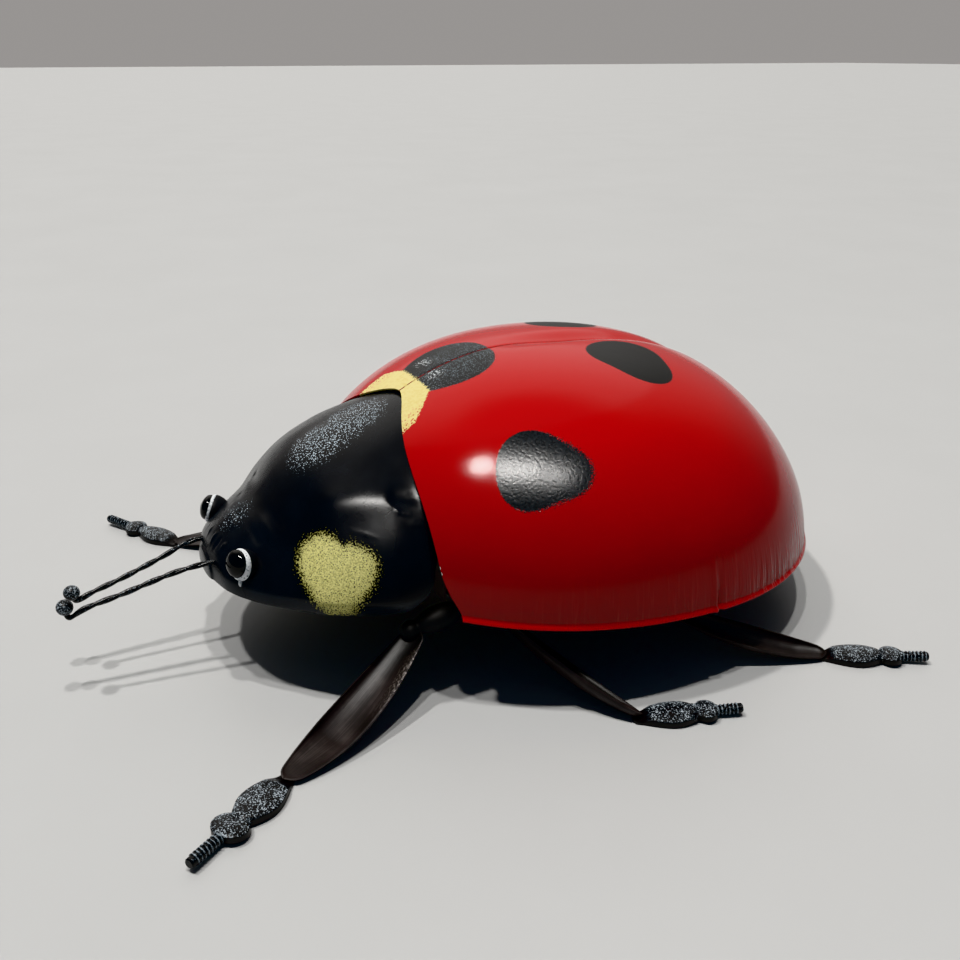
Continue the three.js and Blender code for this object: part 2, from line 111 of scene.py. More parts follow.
def bump(value, middle, width):
    return math.exp(-((value - middle) / width) ** 2)


def aim(azimuth, elevation):
    # the way to an azimuth from +X and an elevation, both in degrees
    azimuth, elevation = math.radians(azimuth), math.radians(elevation)
    return Vector((math.cos(elevation) * math.cos(azimuth),
                   math.cos(elevation) * math.sin(azimuth), math.sin(elevation)))


def shapedGrid(name, columns, rows, place, flip=False):
    # a grid primitive whose points are moved by place(u, v), with u and v from 0 to 1 over it
    deselectAll()
    bpy.ops.mesh.primitive_grid_add(x_subdivisions=columns, y_subdivisions=rows, size=1)
    piece = named(name)
    for vertex in piece.data.vertices:
        vertex.co = place(clamp(vertex.co.x + 0.5), clamp(vertex.co.y + 0.5))
    editAll()
    bpy.ops.mesh.remove_doubles(threshold=weldDistance * mm)
    if flip:
        bpy.ops.mesh.flip_normals()
    bpy.ops.object.mode_set(mode="OBJECT")
    return piece


def pushed(piece, push):
    # moves each point along its normal by push(its place), both in millimetres
    normals = [vertex.normal.copy() for vertex in piece.data.vertices]
    for vertex, normal in zip(piece.data.vertices, normals):
        vertex.co += normal * push(vertex.co / mm) * mm


def foldHeight(point, folds):
    # each fold runs from one point to another with a width and a height, and fades at its ends
    total = 0
    for start, end, width, height in folds:
        run = Vector(end) - Vector(start)
        t = clamp((point - Vector(start)).dot(run) / run.dot(run))
        away = (point - Vector(start) - run * t).length
        if away < width * 3:  # further out a fold is too low to matter
            total += height * math.exp(-(away / width) ** 2)
    return total


def turned(name, profile, steps):
    # a disc drawn up along z through the profile's radii and heights, as on a lathe
    deselectAll()
    radius, height = profile[0]
    bpy.ops.mesh.primitive_circle_add(vertices=steps, radius=radius * mm, fill_type="NGON")
    piece = named(name)
    editAll()
    bpy.ops.transform.translate(value=(0, 0, height * mm))
    for nextRadius, nextHeight in profile[1:]:
        bpy.ops.mesh.extrude_region_move(
            TRANSFORM_OT_translate={"value": (0, 0, (nextHeight - height) * mm)})
        ratio = nextRadius / radius
        bpy.ops.transform.resize(value=(ratio, ratio, 1), center_override=(0, 0, nextHeight * mm))
        radius, height = nextRadius, nextHeight
    bpy.ops.mesh.select_all(action="SELECT")
    bpy.ops.mesh.normals_make_consistent(inside=False)
    bpy.ops.object.mode_set(mode="OBJECT")
    return piece


def settle(piece, matrix):
    # puts a piece in its place, with the place in its mesh
    activate(piece)
    piece.matrix_world = matrix
    bpy.ops.object.transform_apply(location=True, rotation=True, scale=True)
    return piece


def turnOver(piece):
    # to the other side of the body, with its faces still outwards
    activate(piece)
    piece.scale.x = -1
    bpy.ops.object.transform_apply(location=False, rotation=False, scale=True)
    editAll()
    bpy.ops.mesh.flip_normals()
    bpy.ops.object.mode_set(mode="OBJECT")
    return piece


def mirroredCopy(piece, name):
    activate(piece)
    bpy.ops.object.duplicate(linked=False)
    return turnOver(named(name))


def dress(piece, material, slot, *nodes):
    piece.data.materials.clear()
    piece.data.materials.append(material)
    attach(piece, "root")
    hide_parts(*nodes)


# material tools

def colour(code):
    channels = [int(code[i:i + 2], 16) / 255 for i in (1, 3, 5)]
    linear = [c / 12.92 if c <= 0.04045 else ((c + 0.055) / 1.055) ** 2.4 for c in channels]
    return (*linear, 1)


mainSetting = {"Mix": "data_type", "MapRange": "interpolation_type", "ValToRGB": "stops"}


def addNode(tree, kind, *values, **sockets):
    # the first value may be the main setting or all of them, and the others fill the inputs in
    # order; a node stands for its output, and a hex string for its colour
    node = tree.nodes.new("ShaderNode" + kind)
    settings = {}
    if values and isinstance(values[0], (str, dict, list)):
        settings, *values = values
    if not isinstance(settings, dict):
        settings = {mainSetting.get(kind, "operation"): settings}
    for key, value in settings.items():
        if key == "stops":
            for place, tint in value[1:-1]:
                node.color_ramp.elements.new(place)
            for element, (place, tint) in zip(node.color_ramp.elements, value):
                element.position = place
                element.color = colour(tint)
        else:
            setattr(node, key, value)
    links = list(zip(node.inputs, values))
    for key, value in sockets.items():
        place = int(key[1:]) if key[0] == "_" else key.replace("_", " ")
        links.append((node.inputs[place], value))
    for socket, value in links:
        if isinstance(value, str):
            value = colour(value)
        if isinstance(value, bpy.types.Node):
            value = next(output for output in value.outputs if output.enabled)
        if isinstance(value, bpy.types.NodeSocket):
            tree.links.new(value, socket)
        else:
            socket.default_value = value
    return node


def newMaterial(name):
    # the material, its node adder, and the place on the figure in millimetres
    material = bpy.data.materials.new(name)
    material.use_nodes = True
    material.node_tree.nodes.clear()
    add = functools.partial(addNode, material.node_tree)
    place = add("Mapping", add("TexCoord").outputs["Object"], Scale=(1 / mm, 1 / mm, 1 / mm))
    return material, add, place


def finishMaterial(add, relief, **sockets):
    # relief is the height of the surface in millimetres
    surface = add("Bump", Strength=1.0, Distance=mm, Height=relief)
    add("OutputMaterial", add("BsdfPrincipled", Normal=surface, **sockets))


# wing cases
wingCase = {
    "halfWidth": 186, "reachFront": 204.4, "reachRear": 188.5, "planPower": 2.12,
    "rimZ": 50, "rise": 138.3, "planFallPower": 2.46, "riseFallPower": 1.68, "tilt": -0.043,
    "valleyDepth": 4.5, "valleyWidth": 11, "valleyFrom": -75, "valleyRun": 80,
    "creaseDepth": 0.7, "creaseWidth": 1.0, "creaseFade": 4, "seamGap": 0.2, "sheet": 1.2,
    "columns": 250, "rows": 100,
    "rimShare": 0.86, "rimTurn": 1.44, "seamCrowd": 1.45, "rimCrowd": 0.84,  # how the rows crowd
}
rim = {
    "lipHeight": 4.2, "lipFlare": 1.5, "flareReach": 45,  # the bottom edge is rolled outwards
    "wrinkle": 0.5, "wrinklePitch": 9, "wrinkleLength": 70, "wrinkleFrom": 5, "wrinkleReach": 26,
    "sharpness": 4, "seamFade": 30, "rearFrom": -90, "rearRun": 220, "rearShare": 0.7,
}
pinch = {  # one fold near the rear of the left rim, with a ridge beside its groove
    "y": 109, "height": 36, "depth": 1.6, "width": 2.4,
    "ridge": 0.7, "ridgeAt": -1.6, "ridgeWidth": 0.9, "grooveWidth": 0.8,
}
frontEdge = {
    "planeY": -178.5, "notchDepth": 22, "notchWidth": 40, "notchPower": 1.6,
    "cornerX": 119, "cornerRun": 21.3, "cornerDepth": 12.7,
}
domeCentreY = -25.6
# from the drawing's y to the part's
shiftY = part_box("wing_case_left")[1].y / mm - (domeCentreY + wingCase["reachRear"])


def toPart(x, y, z):
    return Vector((x, y + shiftY, z)) * mm


def standing(place, axis):
    # for a turned piece: its foot at the place and its axis along axis
    turn = Vector((0, 0, 1)).rotation_difference(axis).to_matrix().to_4x4()
    return Matrix.Translation(toPart(*place)) @ turn


def frontEdgeY(x):
    notch = math.exp(-(abs(x) / frontEdge["notchWidth"]) ** frontEdge["notchPower"])
    corner = max(0, abs(x) - frontEdge["cornerX"]) / frontEdge["cornerRun"]
    return (frontEdge["planeY"] + frontEdge["notchDepth"] * notch
            + frontEdge["cornerDepth"] * corner ** 2)


def reachAt(dy):
    return wingCase["reachFront"] if dy < 0 else wingCase["reachRear"]


def planHalfWidth(y):
    dy = y - domeCentreY
    power = wingCase["planPower"]
    return wingCase["halfWidth"] * max(0.0, 1 - abs(dy / reachAt(dy)) ** power) ** (1 / power)


def domeZ(x, y):
    dy = y - domeCentreY
    power = wingCase["planPower"]
    plan = abs(x / wingCase["halfWidth"]) ** power + abs(dy / reachAt(dy)) ** power
    plan = plan ** (1 / power)
    fall = max(0.0, 1 - plan ** wingCase["planFallPower"]) ** (1 / wingCase["riseFallPower"])
    valley = wingCase["valleyDepth"] * bump(x, 0, wingCase["valleyWidth"]) * fall
    valley *= smooth((dy - wingCase["valleyFrom"]) / wingCase["valleyRun"])
    crease = wingCase["creaseDepth"] * math.exp(-abs(x) / wingCase["creaseWidth"])
    crease *= min(1, fall * wingCase["creaseFade"])
    return wingCase["rimZ"] + wingCase["rise"] * fall + wingCase["tilt"] * dy - valley - crease


def wingCasePoint(u, v):
    # u from the front edge to the rear, v from the seam to the rim, with close rows at both
    frontTurn = math.asin((frontEdge["planeY"] - domeCentreY) / wingCase["reachFront"])
    turn = lerp(frontTurn, math.pi / 2, u)
    plainY = domeCentreY + reachAt(turn) * math.sin(turn)
    rimShare, rimTurn = wingCase["rimShare"], wingCase["rimTurn"]
    if v < rimShare:
        across = math.sin((v / rimShare) ** wingCase["seamCrowd"] * rimTurn)
    else:
        share = (1 - v) / (1 - rimShare)
        across = math.sqrt(1 - (math.cos(rimTurn) * share ** wingCase["rimCrowd"]) ** 2)
    blend = (1 - u) ** 3
    x = across * planHalfWidth(plainY)
    y = plainY
    for _ in range(6):
        y = plainY + (frontEdgeY(x) - frontEdge["planeY"]) * blend
        x = across * planHalfWidth(y)
    point = toPart(x, y, domeZ(x, y))
    point.x += wingCase["seamGap"] * mm
    return point


def rimPush(point):
    dy = point.y - shiftY - domeCentreY
    height = point.z - (wingCase["rimZ"] + wingCase["tilt"] * dy)
    push = -rim["lipFlare"] * smooth(height / rim["lipHeight"])
    push *= 1 - smooth((height - rim["lipHeight"]) / rim["flareReach"])
    around = math.atan2(dy, abs(point.x)) * wingCase["halfWidth"]
    layer = 4.2  # any number: it picks this noise
    wrinkleAt = Vector((around / rim["wrinklePitch"], height / rim["wrinkleLength"], layer))
    ripple = noise.noise(wrinkleAt)
    ridge = max(0, 1 - rim["sharpness"] * abs(ripple))
    fade = smooth(height / 3) * (1 - smooth((height - rim["wrinkleFrom"]) / rim["wrinkleReach"]))
    rearward = smooth((around - rim["rearFrom"]) / rim["rearRun"])  # more of it to the rear
    push -= rim["wrinkle"] * ridge * fade * lerp(1 - rim["rearShare"], 1, rearward)
    top = clamp(1 - height / pinch["height"])
    if point.x > 0 and top > 0:
        away = (point.y - pinch["y"]) / pinch["width"]
        ridge = pinch["ridge"] * bump(away, pinch["ridgeAt"], pinch["ridgeWidth"])
        push += pinch["depth"] * top * (ridge - bump(away, 0, pinch["grooveWidth"]))
    return push * smooth(abs(point.x) / rim["seamFade"])


def makeWingCases(material, innerMaterial):
    left = shapedGrid("wingCaseLeft", wingCase["columns"], wingCase["rows"], wingCasePoint,
                      flip=True)
    right = mirroredCopy(left, "wingCaseRight")
    for piece, node in ((left, "wing_case_left"), (right, "wing_case_right")):
        pushed(piece, rimPush)
        dress(piece, material, "red_enamel", node)
        piece.data.materials.append(innerMaterial)  # the inside keeps its dark primer
        thickened(piece, wingCase["sheet"], -1, 1)


# pronotum and head, one pressed sheet
# y, half width, height above the rim and the power of the section's curve
headStations = [
    (-158, 116, 102, 1.85), (-180, 118, 95, 1.85), (-205, 118, 88, 1.8), (-230, 109, 78, 1.7),
    (-248, 98.6, 64, 1.6), (-262, 86, 48.5, 1.5), (-276, 73, 39, 1.45), (-288, 58, 30, 1.5),
    (-296, 43, 21.5, 1.7), (-301, 25, 12.5, 1.9),
]
hood = {
    "rimZ": 59, "snoutReach": 3, "hemHeight": 9, "hemTurnIn": 4, "hemShare": 0.07,
    "rearCornerHeight": 24, "rearCornerCut": 19, "rearCornerPower": 2.2,
    "gap": 0.8, "tuck": 5, "tuckFrom": 80, "tuckRun": 14,  # the tuck is under the wing cases
    "sheet": 1.2, "columns": 190, "rows": 140, "noseShare": 0.08,
    "wave": 0.5, "waveLength": 34,  # hand-pressed sheet is never quite even
    "ripple": 0.12, "rippleLength": 9, "rippleFrom": -120, "rippleRun": 30,
    "plainHeight": 10, "plainRun": 20,
}


def headSection(y):
    last = len(headStations) - 1
    index = 0
    while index < last - 1 and y < headStations[index + 1][0]:
        index += 1
    a, b = headStations[index], headStations[index + 1]
    span = b[0] - a[0]
    t = clamp((y - a[0]) / span)

    def slope(k, n):
        if n <= 0 or n >= last:
            return (b[k] - a[k]) / span
        before, after = headStations[n - 1], headStations[n + 1]
        return (after[k] - before[k]) / (after[0] - before[0])

    return [(2 * t ** 3 - 3 * t ** 2 + 1) * a[k] + (3 * t ** 2 - 2 * t ** 3) * b[k]
            + ((t ** 3 - 2 * t ** 2 + t) * slope(k, index)
               + (t ** 3 - t ** 2) * slope(k, index + 1)) * span for k in (1, 2, 3)]


def headPoint(y, side, climb, shrink=1.0):
    # climb goes from 0 at the rim to 1 at the ridge; its first part is the hem
    halfWidth, height, power = headSection(y)
    crease = math.asin(min(1, (hood["hemHeight"] / height) ** (power / 2)))
    if climb < hood["hemShare"]:
        angle = crease * (climb / hood["hemShare"]) ** 0.8
    else:
        angle = lerp(crease, math.pi / 2, (climb - hood["hemShare"]) / (1 - hood["hemShare"]))
    x = halfWidth * shrink * math.cos(angle) ** (2 / power)
    z = height * shrink * math.sin(angle) ** (2 / power)
    x -= min(x, max(0, 1 - z / hood["hemHeight"]) * hood["hemTurnIn"] * shrink)
    return side * x, y, hood["rimZ"] + z


def rearEdgeY(side, climb):
    x, _, z = headPoint(frontEdge["planeY"], side, climb)
    lift = max(0, 1 - (z - hood["rimZ"]) / hood["rearCornerHeight"])
    tuck = hood["tuck"] * smooth((z - hood["tuckFrom"]) / hood["tuckRun"])
    return (frontEdgeY(min(abs(x), frontEdge["cornerX"])) - hood["gap"] + tuck
            - hood["rearCornerCut"] * lift ** hood["rearCornerPower"])


def hoodPoint(u, v):
    # u from rim to rim over the ridge, v from the wing cases to the snout
    side = 1 if u < 0.5 else -1
    climb = 1 - abs(2 * u - 1)
    lastY = headStations[-1][0]
    open_ = 1 - hood["noseShare"]
    if v <= open_:
        y = lerp(rearEdgeY(side, climb), lastY, v / open_)
        return toPart(*headPoint(y, side, climb))
    turn = (v - open_) / hood["noseShare"] * math.pi / 2
    x, y, z = headPoint(lastY, side, climb, max(0.004, math.cos(turn)))
    return toPart(x, y - hood["snoutReach"] * math.sin(turn), z)


# dents and folds of the hood: from, to, width and height, in the part's millimetres
hoodFolds = [
    ((80, -73, 121.5), (83, -62, 120), 4.8, -0.85),  # the dent by the left rear edge
    ((76.5, -78, 123), (80, -66, 123.5), 2.6, 0.2),
    ((79, -80, 120.5), (83, -78.5, 118), 1.8, 0.16),
    ((83, -78.5, 118), (88, -75, 115.5), 1.1, 0.36),
    ((88, -75, 115.5), (92, -68.5, 114.8), 1.1, 0.36),
    ((92, -68.5, 114.8), (93.5, -58, 116.5), 1.1, 0.3),
    ((94, -67, 113), (97, -58, 111), 1.2, 0.26),
    ((66, -108, 119), (78, -82, 122), 12, 1.6),  # a soft swelling before it
    ((96.6, -69, 109.4), (98, -63, 108.6), 1.3, 0.18),
    ((83.7, -104.3, 106.8), (90.4, -97, 105.6), 0.9, 0.14),
    ((90.4, -97, 105.6), (94.5, -91.6, 104), 0.9, 0.14),
    ((-30, -144, 101), (52, -147, 94), 3.2, 0.8),  # soft folds at the waist
    ((-30, -138, 107), (45, -140, 101), 3.0, -0.8),
    ((-20, -152, 97), (40, -155, 90), 2.6, -0.6),
    ((-12, -160, 96), (14, -166, 93), 2.2, 0.5),
    ((6, -184, 62), (5, -176, 84), 1.5, 0.9),  # pleats of the snout
    ((14, -183, 62), (13, -175, 84), 1.4, -0.9),
    ((21, -181.5, 62), (20, -173, 82), 1.4, 0.9),
    ((28, -179, 62), (27, -171, 80), 1.4, -0.5),
    ((-8, -184, 62), (-7, -176, 82), 1.5, 0.8),
    ((-16, -183, 62), (-15, -175, 80), 1.5, -0.5),
]


def hoodPush(point):
    soft = noise.noise(point / hood["waveLength"]) * hood["wave"]
    near = smooth((hood["rippleFrom"] - point.y) / hood["rippleRun"])
    soft += noise.noise(point / hood["rippleLength"]) * hood["ripple"] * near
    above = smooth((point.z - hood["rimZ"] - hood["plainHeight"]) / hood["plainRun"])
    return foldHeight(point, hoodFolds) + soft * above


def makeHood(material):
    piece = shapedGrid("hood", hood["columns"], hood["rows"], hoodPoint)
    pushed(piece, hoodPush)
    thickened(piece, hood["sheet"], -1)
    dress(piece, material, "black_enamel", "pronotum", "head")


# eyes
eye = {
    "centre": (46, -286, 79), "azimuth": -66, "elevation": 18, "pupilShift": (-0.9, 0.4),
    "steps": 56,
}
# radius and height of each ring, from the head outwards
eyeBase = [(6, -12), (9.5, -6), (10.3, -3), (10.5, -2.4), (10.5, -0.5), (10.2, 0.1), (9.0, 0.4)]
eyeBand = [
    (9.0, -0.6), (10.3, -0.4), (10.6, 0.1), (10.5, 0.8), (9.9, 1.8), (9.0, 2.6), (8.0, 3.0),
    (7.0, 3.1),
]
eyePupil = [
    (8.4, 1.6), (9.1, 2.4), (9.2, 3.4), (8.8, 4.6), (7.8, 5.8), (6.2, 6.9), (4.2, 7.7), (2.1, 8.2),
    (0.3, 8.3),
]
eyeDrip = {"centre": (51, -288.6, 68.6), "radius": 1.3, "length": 2.6}  # white paint that ran down


def withDrip(band):
    name = band.name
    deselectAll()
    bpy.ops.mesh.primitive_ico_sphere_add(subdivisions=3, radius=eyeDrip["radius"] * mm)
    drip = named("eyeDrip")
    stretch = Matrix.Diagonal((1, 1, eyeDrip["length"] / eyeDrip["radius"], 1))
    settle(drip, Matrix.Translation(toPart(*eyeDrip["centre"])) @ stretch)
    activate(drip, band)
    bpy.ops.object.join()
    return named(name)


def makeEyes(baseMaterial, bandMaterial, pupilMaterial):
    pieces = (("eyeBase", eyeBase, baseMaterial, ("eye",)), ("eyeBand", eyeBand, bandMaterial, ()),
              ("eyePupil", eyePupil, pupilMaterial, ()))
    for name, profile, material, nodes in pieces:
        left = turned(name + "Left", profile, eye["steps"])
        if name == "eyePupil":
            settle(left, Matrix.Translation(Vector((*eye["pupilShift"], 0)) * mm))
        settle(left, standing(eye["centre"], aim(eye["azimuth"], eye["elevation"])))
        smoothed(left, 35)
        right = mirroredCopy(left, name + "Right")
        if name == "eyeBand":
            left = withDrip(left)
        dress(left, material, "eye_enamel", *[node + "_left" for node in nodes])
        dress(right, material, "eye_enamel", *[node + "_right" for node in nodes])


# feelers
feeler = {
    "wireRadius": 1.45, "offset": 0.6, "pitch": 30, "straight": 16, "steps": 150,
    "ballRadius": 5.4, "ballDent": 0.125, "ballDentPitch": 6.25,
}
feelerRoutes = {
    "left": [(20, -288, 71.5), (18.9, -305, 70.7), (17.4, -327, 67.4), (15.7, -357, 59.6),
             (14.6, -380, 54.4), (14, -391, 49.6), (14, -393, 55)],
    "right": [(-20, -288, 71.2), (-19, -309, 69.8), (-17.6, -329, 62.6), (-16, -355, 54.2),
              (-14.8, -375, 48.8), (-14, -385.6, 45.4), (-14, -387.6, 50)],
}
feelerBalls = {"left": (14, -393, 57.5), "right": (-14, -387.7, 51.8)}


def alongRoute(route, t):
    # a smooth curve through the route's points, t from 0 to 1
    place = clamp(t) * (len(route) - 1)
    index = min(int(place), len(route) - 2)
    f = place - index
    points = [Vector(route[clamp(index + k, 0, len(route) - 1)]) for k in (-1, 0, 1, 2)]
    return 0.5 * ((2 * points[1]) + (points[2] - points[0]) * f
                  + (2 * points[0] - 5 * points[1] + 4 * points[2] - points[3]) * f ** 2
                  + (3 * points[1] - points[0] - 3 * points[2] + points[3]) * f ** 3)


def makeFeelers(wireMaterial, ballMaterial):
    for side, route in feelerRoutes.items():
        steps = feeler["steps"]
        middle = [alongRoute(route, i / steps) for i in range(steps + 1)]
        strands = []
        for phase in (0, math.pi):
            deselectAll()
            bpy.ops.curve.primitive_nurbs_path_add()
            strand = named(f"feelerStrand_{side}_{phase:.0f}")
            strand.data.splines.clear()
            spline = strand.data.splines.new("POLY")
            spline.points.add(steps)
            run = 0
            for i, point in enumerate(middle):
                if i:
                    run += (point - middle[i - 1]).length
                heading = (middle[min(i + 1, steps)] - middle[max(i - 1, 0)]).normalized()
                sideways = heading.cross(Vector((0, 0, 1))).normalized()
                upward = sideways.cross(heading)
                turn = phase + 2 * math.pi * max(0, run - feeler["straight"]) / feeler["pitch"]
                offset = (sideways * math.cos(turn) + upward * math.sin(turn)) * feeler["offset"]
                spline.points[i].co = (*toPart(*(point + offset)), 1)
            strand.data.bevel_depth = feeler["wireRadius"] * mm
            strand.data.bevel_resolution = 2
            strand.data.use_fill_caps = True
            activate(strand)
            bpy.ops.object.convert(target="MESH")
            strands.append(bpy.context.object)
        activate(*strands)
        bpy.ops.object.join()
        wire = named("feelerWire" + side.capitalize())
        smoothed(wire, 50)
        dress(wire, wireMaterial, "wire_enamel", "antenna_" + side)
        deselectAll()
        bpy.ops.mesh.primitive_ico_sphere_add(subdivisions=4, radius=feeler["ballRadius"] * mm)
        ball = named("feelerBall" + side.capitalize())
        for vertex in ball.data.vertices:
            dent = 1 + noise.noise(vertex.co / mm / feeler["ballDentPitch"])
            vertex.co *= 1 - dent * feeler["ballDent"] / feeler["ballRadius"]
        settle(ball, Matrix.Translation(toPart(*feelerBalls[side])))
        smoothed(ball, 60)
        dress(ball, ballMaterial, "speckled_enamel", "antenna_ball_" + side)


# legs
legs = {
    "front": {
        "coxa": ((110, -156, 54), (107.5, -202, 43.8)), "drop": 5, "hip": (114.3, -198.5, 39),
        "knee": (167, -297, 4.4), "sag": 8, "roll": 0, "halfWidth": 15.8, "hipHalfWidth": 7.5,
        "hipOverlap": 9, "foot": (41.5, -58.8), "long": 12.2, "round": (11.2, 9.3, 40.2),
        "length": 49.5, "claw": 20.5,
    },
    "middle": {
        "coxa": ((67, -156, 54), (107, -132, 46)), "drop": 2, "hip": (104, -134, 40.5),
        "knee": (206, -80, 4.4), "sag": 2, "roll": 34, "halfWidth": 13.5, "hipHalfWidth": 5,
        "hipOverlap": 4, "foot": (22, 61), "long": 10.6, "round": (8.8, 7.4, 37.8),
        "length": 45.3, "claw": 15.5,
    },
    "hind": {
        "coxa": ((137, -67, 50), (156, -24, 43)), "drop": 2, "hip": (155, -27, 38),
        "knee": (204, 72, 4.4), "sag": 4, "roll": -14, "halfWidth": 11, "hipHalfWidth": 4.2,
        "hipOverlap": 4, "foot": (34, 59), "long": 10.8, "round": (9.0, 8.0, 40.0),
        "length": 48.2, "claw": 16.2,
    },
}
bentLeg = {  # the right front leg is bent forward
    "knee": (160, -304, 4.4), "foot": (50.5, -35.5), "long": 10.2, "round": (9.2, 8.4, 42),
    "length": 51, "claw": 24,
}
femur = {
    "kneeHalfWidth": 4, "depth": 8.5, "tipDepth": 2.4, "sheet": 1.1, "widestAt": 0.56,
    "hipCurve": 0.9, "kneeCurve": 0.62, "floorGap": 1.3, "endShare": 0.05,
    "columns": 28, "rows": 72,
}
foot = {
    "start": 2.4, "lift": 0.15, "heel": 9, "heelHalfWidth": 4.2, "heelHeight": 2.0, "heelRun": 9,
    "longLobe": 33, "lobeLap": 3, "lobeCurve": 1.25, "lobeFullness": 1.1, "leastHalfWidth": 0.15,
    "grooveFrom": 5.7, "grooveBow": 3.5, "grooveSpan": 7, "groove": 1.5, "grooveWidth": 1.1,
    "step": 0.5, "stepRun": 1.2, "wall": 4, "skirt": 0.14, "shoulder": 0.97, "crown": 2.6,
    "crownPower": 2.2, "flat": 16, "climb": 0.07, "sheet": 0.9, "endCrowd": 0.6,
    "columns": 56, "rows": 110,
}
claw = {
    "radius": 3.0, "ribRadius": 3.6, "pitch": 2.45, "rib": (0.22, 0.42, 0.64), "chamfer": 0.5,
    "climb": 0.05, "lift": 0.44, "gap": 0.4, "overlap": 5, "steps": 28,
}
coxa = {
    "bigAt": 0.44, "bigRadius": 9.5, "bigReach": 17, "smallRadius": 7.2,
    "stemRadius": 4.5, "stemAt": 0.4, "flatness": 0.95, "voxel": 0.9, "soften": 6,
}


def legFrame(start, end, roll=0.0):
    along = (end - start).normalized()
    side = along.cross(Vector((0, 0, 1))).normalized()
    up = side.cross(along)
    turn = Matrix.Rotation(-math.radians(roll), 3, along)
    return along, turn @ side, turn @ up, (end - start).length


def femurPoint(leg):
    hip, knee = Vector(leg["hip"]), Vector(leg["knee"])
    hip -= (knee - hip).normalized() * leg["hipOverlap"]
    along, side, up, length = legFrame(hip, knee, leg["roll"])

    def place(u, v):
        # u from lip to lip under the trough, v from hip to knee
        widest = femur["widestAt"]
        if v < widest:
            peak = math.sin(v / widest * math.pi / 2) ** femur["hipCurve"]
            endHalfWidth = leg["hipHalfWidth"]
        else:
            peak = math.cos((v - widest) / (1 - widest) * math.pi / 2)
            peak = max(0, peak) ** femur["kneeCurve"]
            endHalfWidth = femur["kneeHalfWidth"]
        halfWidth = lerp(endHalfWidth, leg["halfWidth"], peak)
        centre = hip + along * v * length - up * leg["sag"] * peak
        depth = min(lerp(femur["tipDepth"], femur["depth"], peak),
                    (centre.z - femur["floorGap"]) / up.z)
        near = min(v, 1 - v) / femur["endShare"]
        close = math.sqrt(max(0.02, 1 - (1 - clamp(near)) ** 2))
        angle = math.pi * (1 + u)
        point = (centre + side * halfWidth * close * math.cos(angle)
                 + up * depth * close * math.sin(angle))
        return toPart(point.x, point.y, max(point.z, femur["floorGap"]))

    return place


def footHalfWidth(s, leg):
    roundHalfWidth, roundReach, roundAt = leg["round"]
    lobeEnd = foot["longLobe"] + foot["lobeLap"]
    longPart = 0
    if s <= lobeEnd:
        t = clamp((s + foot["heel"]) / (lobeEnd + foot["heel"]))
        swell = math.sin(math.pi * t ** foot["lobeCurve"]) ** foot["lobeFullness"]
        longPart = lerp(foot["heelHalfWidth"], leg["long"], swell)
        longPart *= math.sqrt(1 - (1 - clamp((s + foot["heel"]) / 3)) ** 2)  # the heel is rounded
    reach = (s - roundAt) / roundReach
    roundPart = roundHalfWidth * math.sqrt(max(0, 1 - reach ** 2))
    return max(longPart, roundPart, foot["leastHalfWidth"])


def footStart(leg):
    # where the foot starts on the floor, and the way it points
    direction = Vector((*leg["foot"], 0)).normalized()
    return Vector((*leg["knee"][:2], 0)) + direction * foot["start"], direction


def tarsusPoint(leg):
    start, direction = footStart(leg)
    side = Vector((direction.y, -direction.x, 0))

    def place(u, v):
        # u from edge to edge over the top, v from heel to toe
        whole = foot["heel"] + leg["length"]
        crowded = whole * (1 - math.cos(v * math.pi)) / 2  # closer rows at both ends
        s = lerp(crowded, v * whole, foot["endCrowd"]) - foot["heel"]
        halfWidth = footHalfWidth(s, leg)
        bottom = max(0, s - foot["flat"]) * foot["climb"]
        # the heel lies flat under the knee
        rise = smooth((s + foot["heel"] * 0.5) / foot["heelRun"])
        wall = lerp(foot["heelHeight"], foot["wall"], rise)
        skirt = foot["skirt"]
        if u < skirt or u > 1 - skirt:
            w = math.copysign(1.0, u - 0.5)
            z = wall * min(u, 1 - u) / skirt
        else:
            w = -math.cos((u - skirt) / (1 - 2 * skirt) * math.pi) * foot["shoulder"]
            full = min(1, halfWidth / leg["long"]) * rise
            z = wall + foot["crown"] * full * (1 - abs(w) ** foot["crownPower"])
            grooveAt = leg["round"][2] - foot["grooveFrom"]
            grooveAt -= foot["grooveBow"] * (w * halfWidth / foot["grooveSpan"]) ** 2
            z -= foot["groove"] * bump(s, grooveAt, foot["grooveWidth"])
            z += foot["step"] * (1 - smooth((s - grooveAt) / foot["stepRun"] + 0.5)) * rise
        point = start + direction * s + side * w * halfWidth
        return toPart(point.x, point.y, foot["lift"] + bottom + z)

    return place


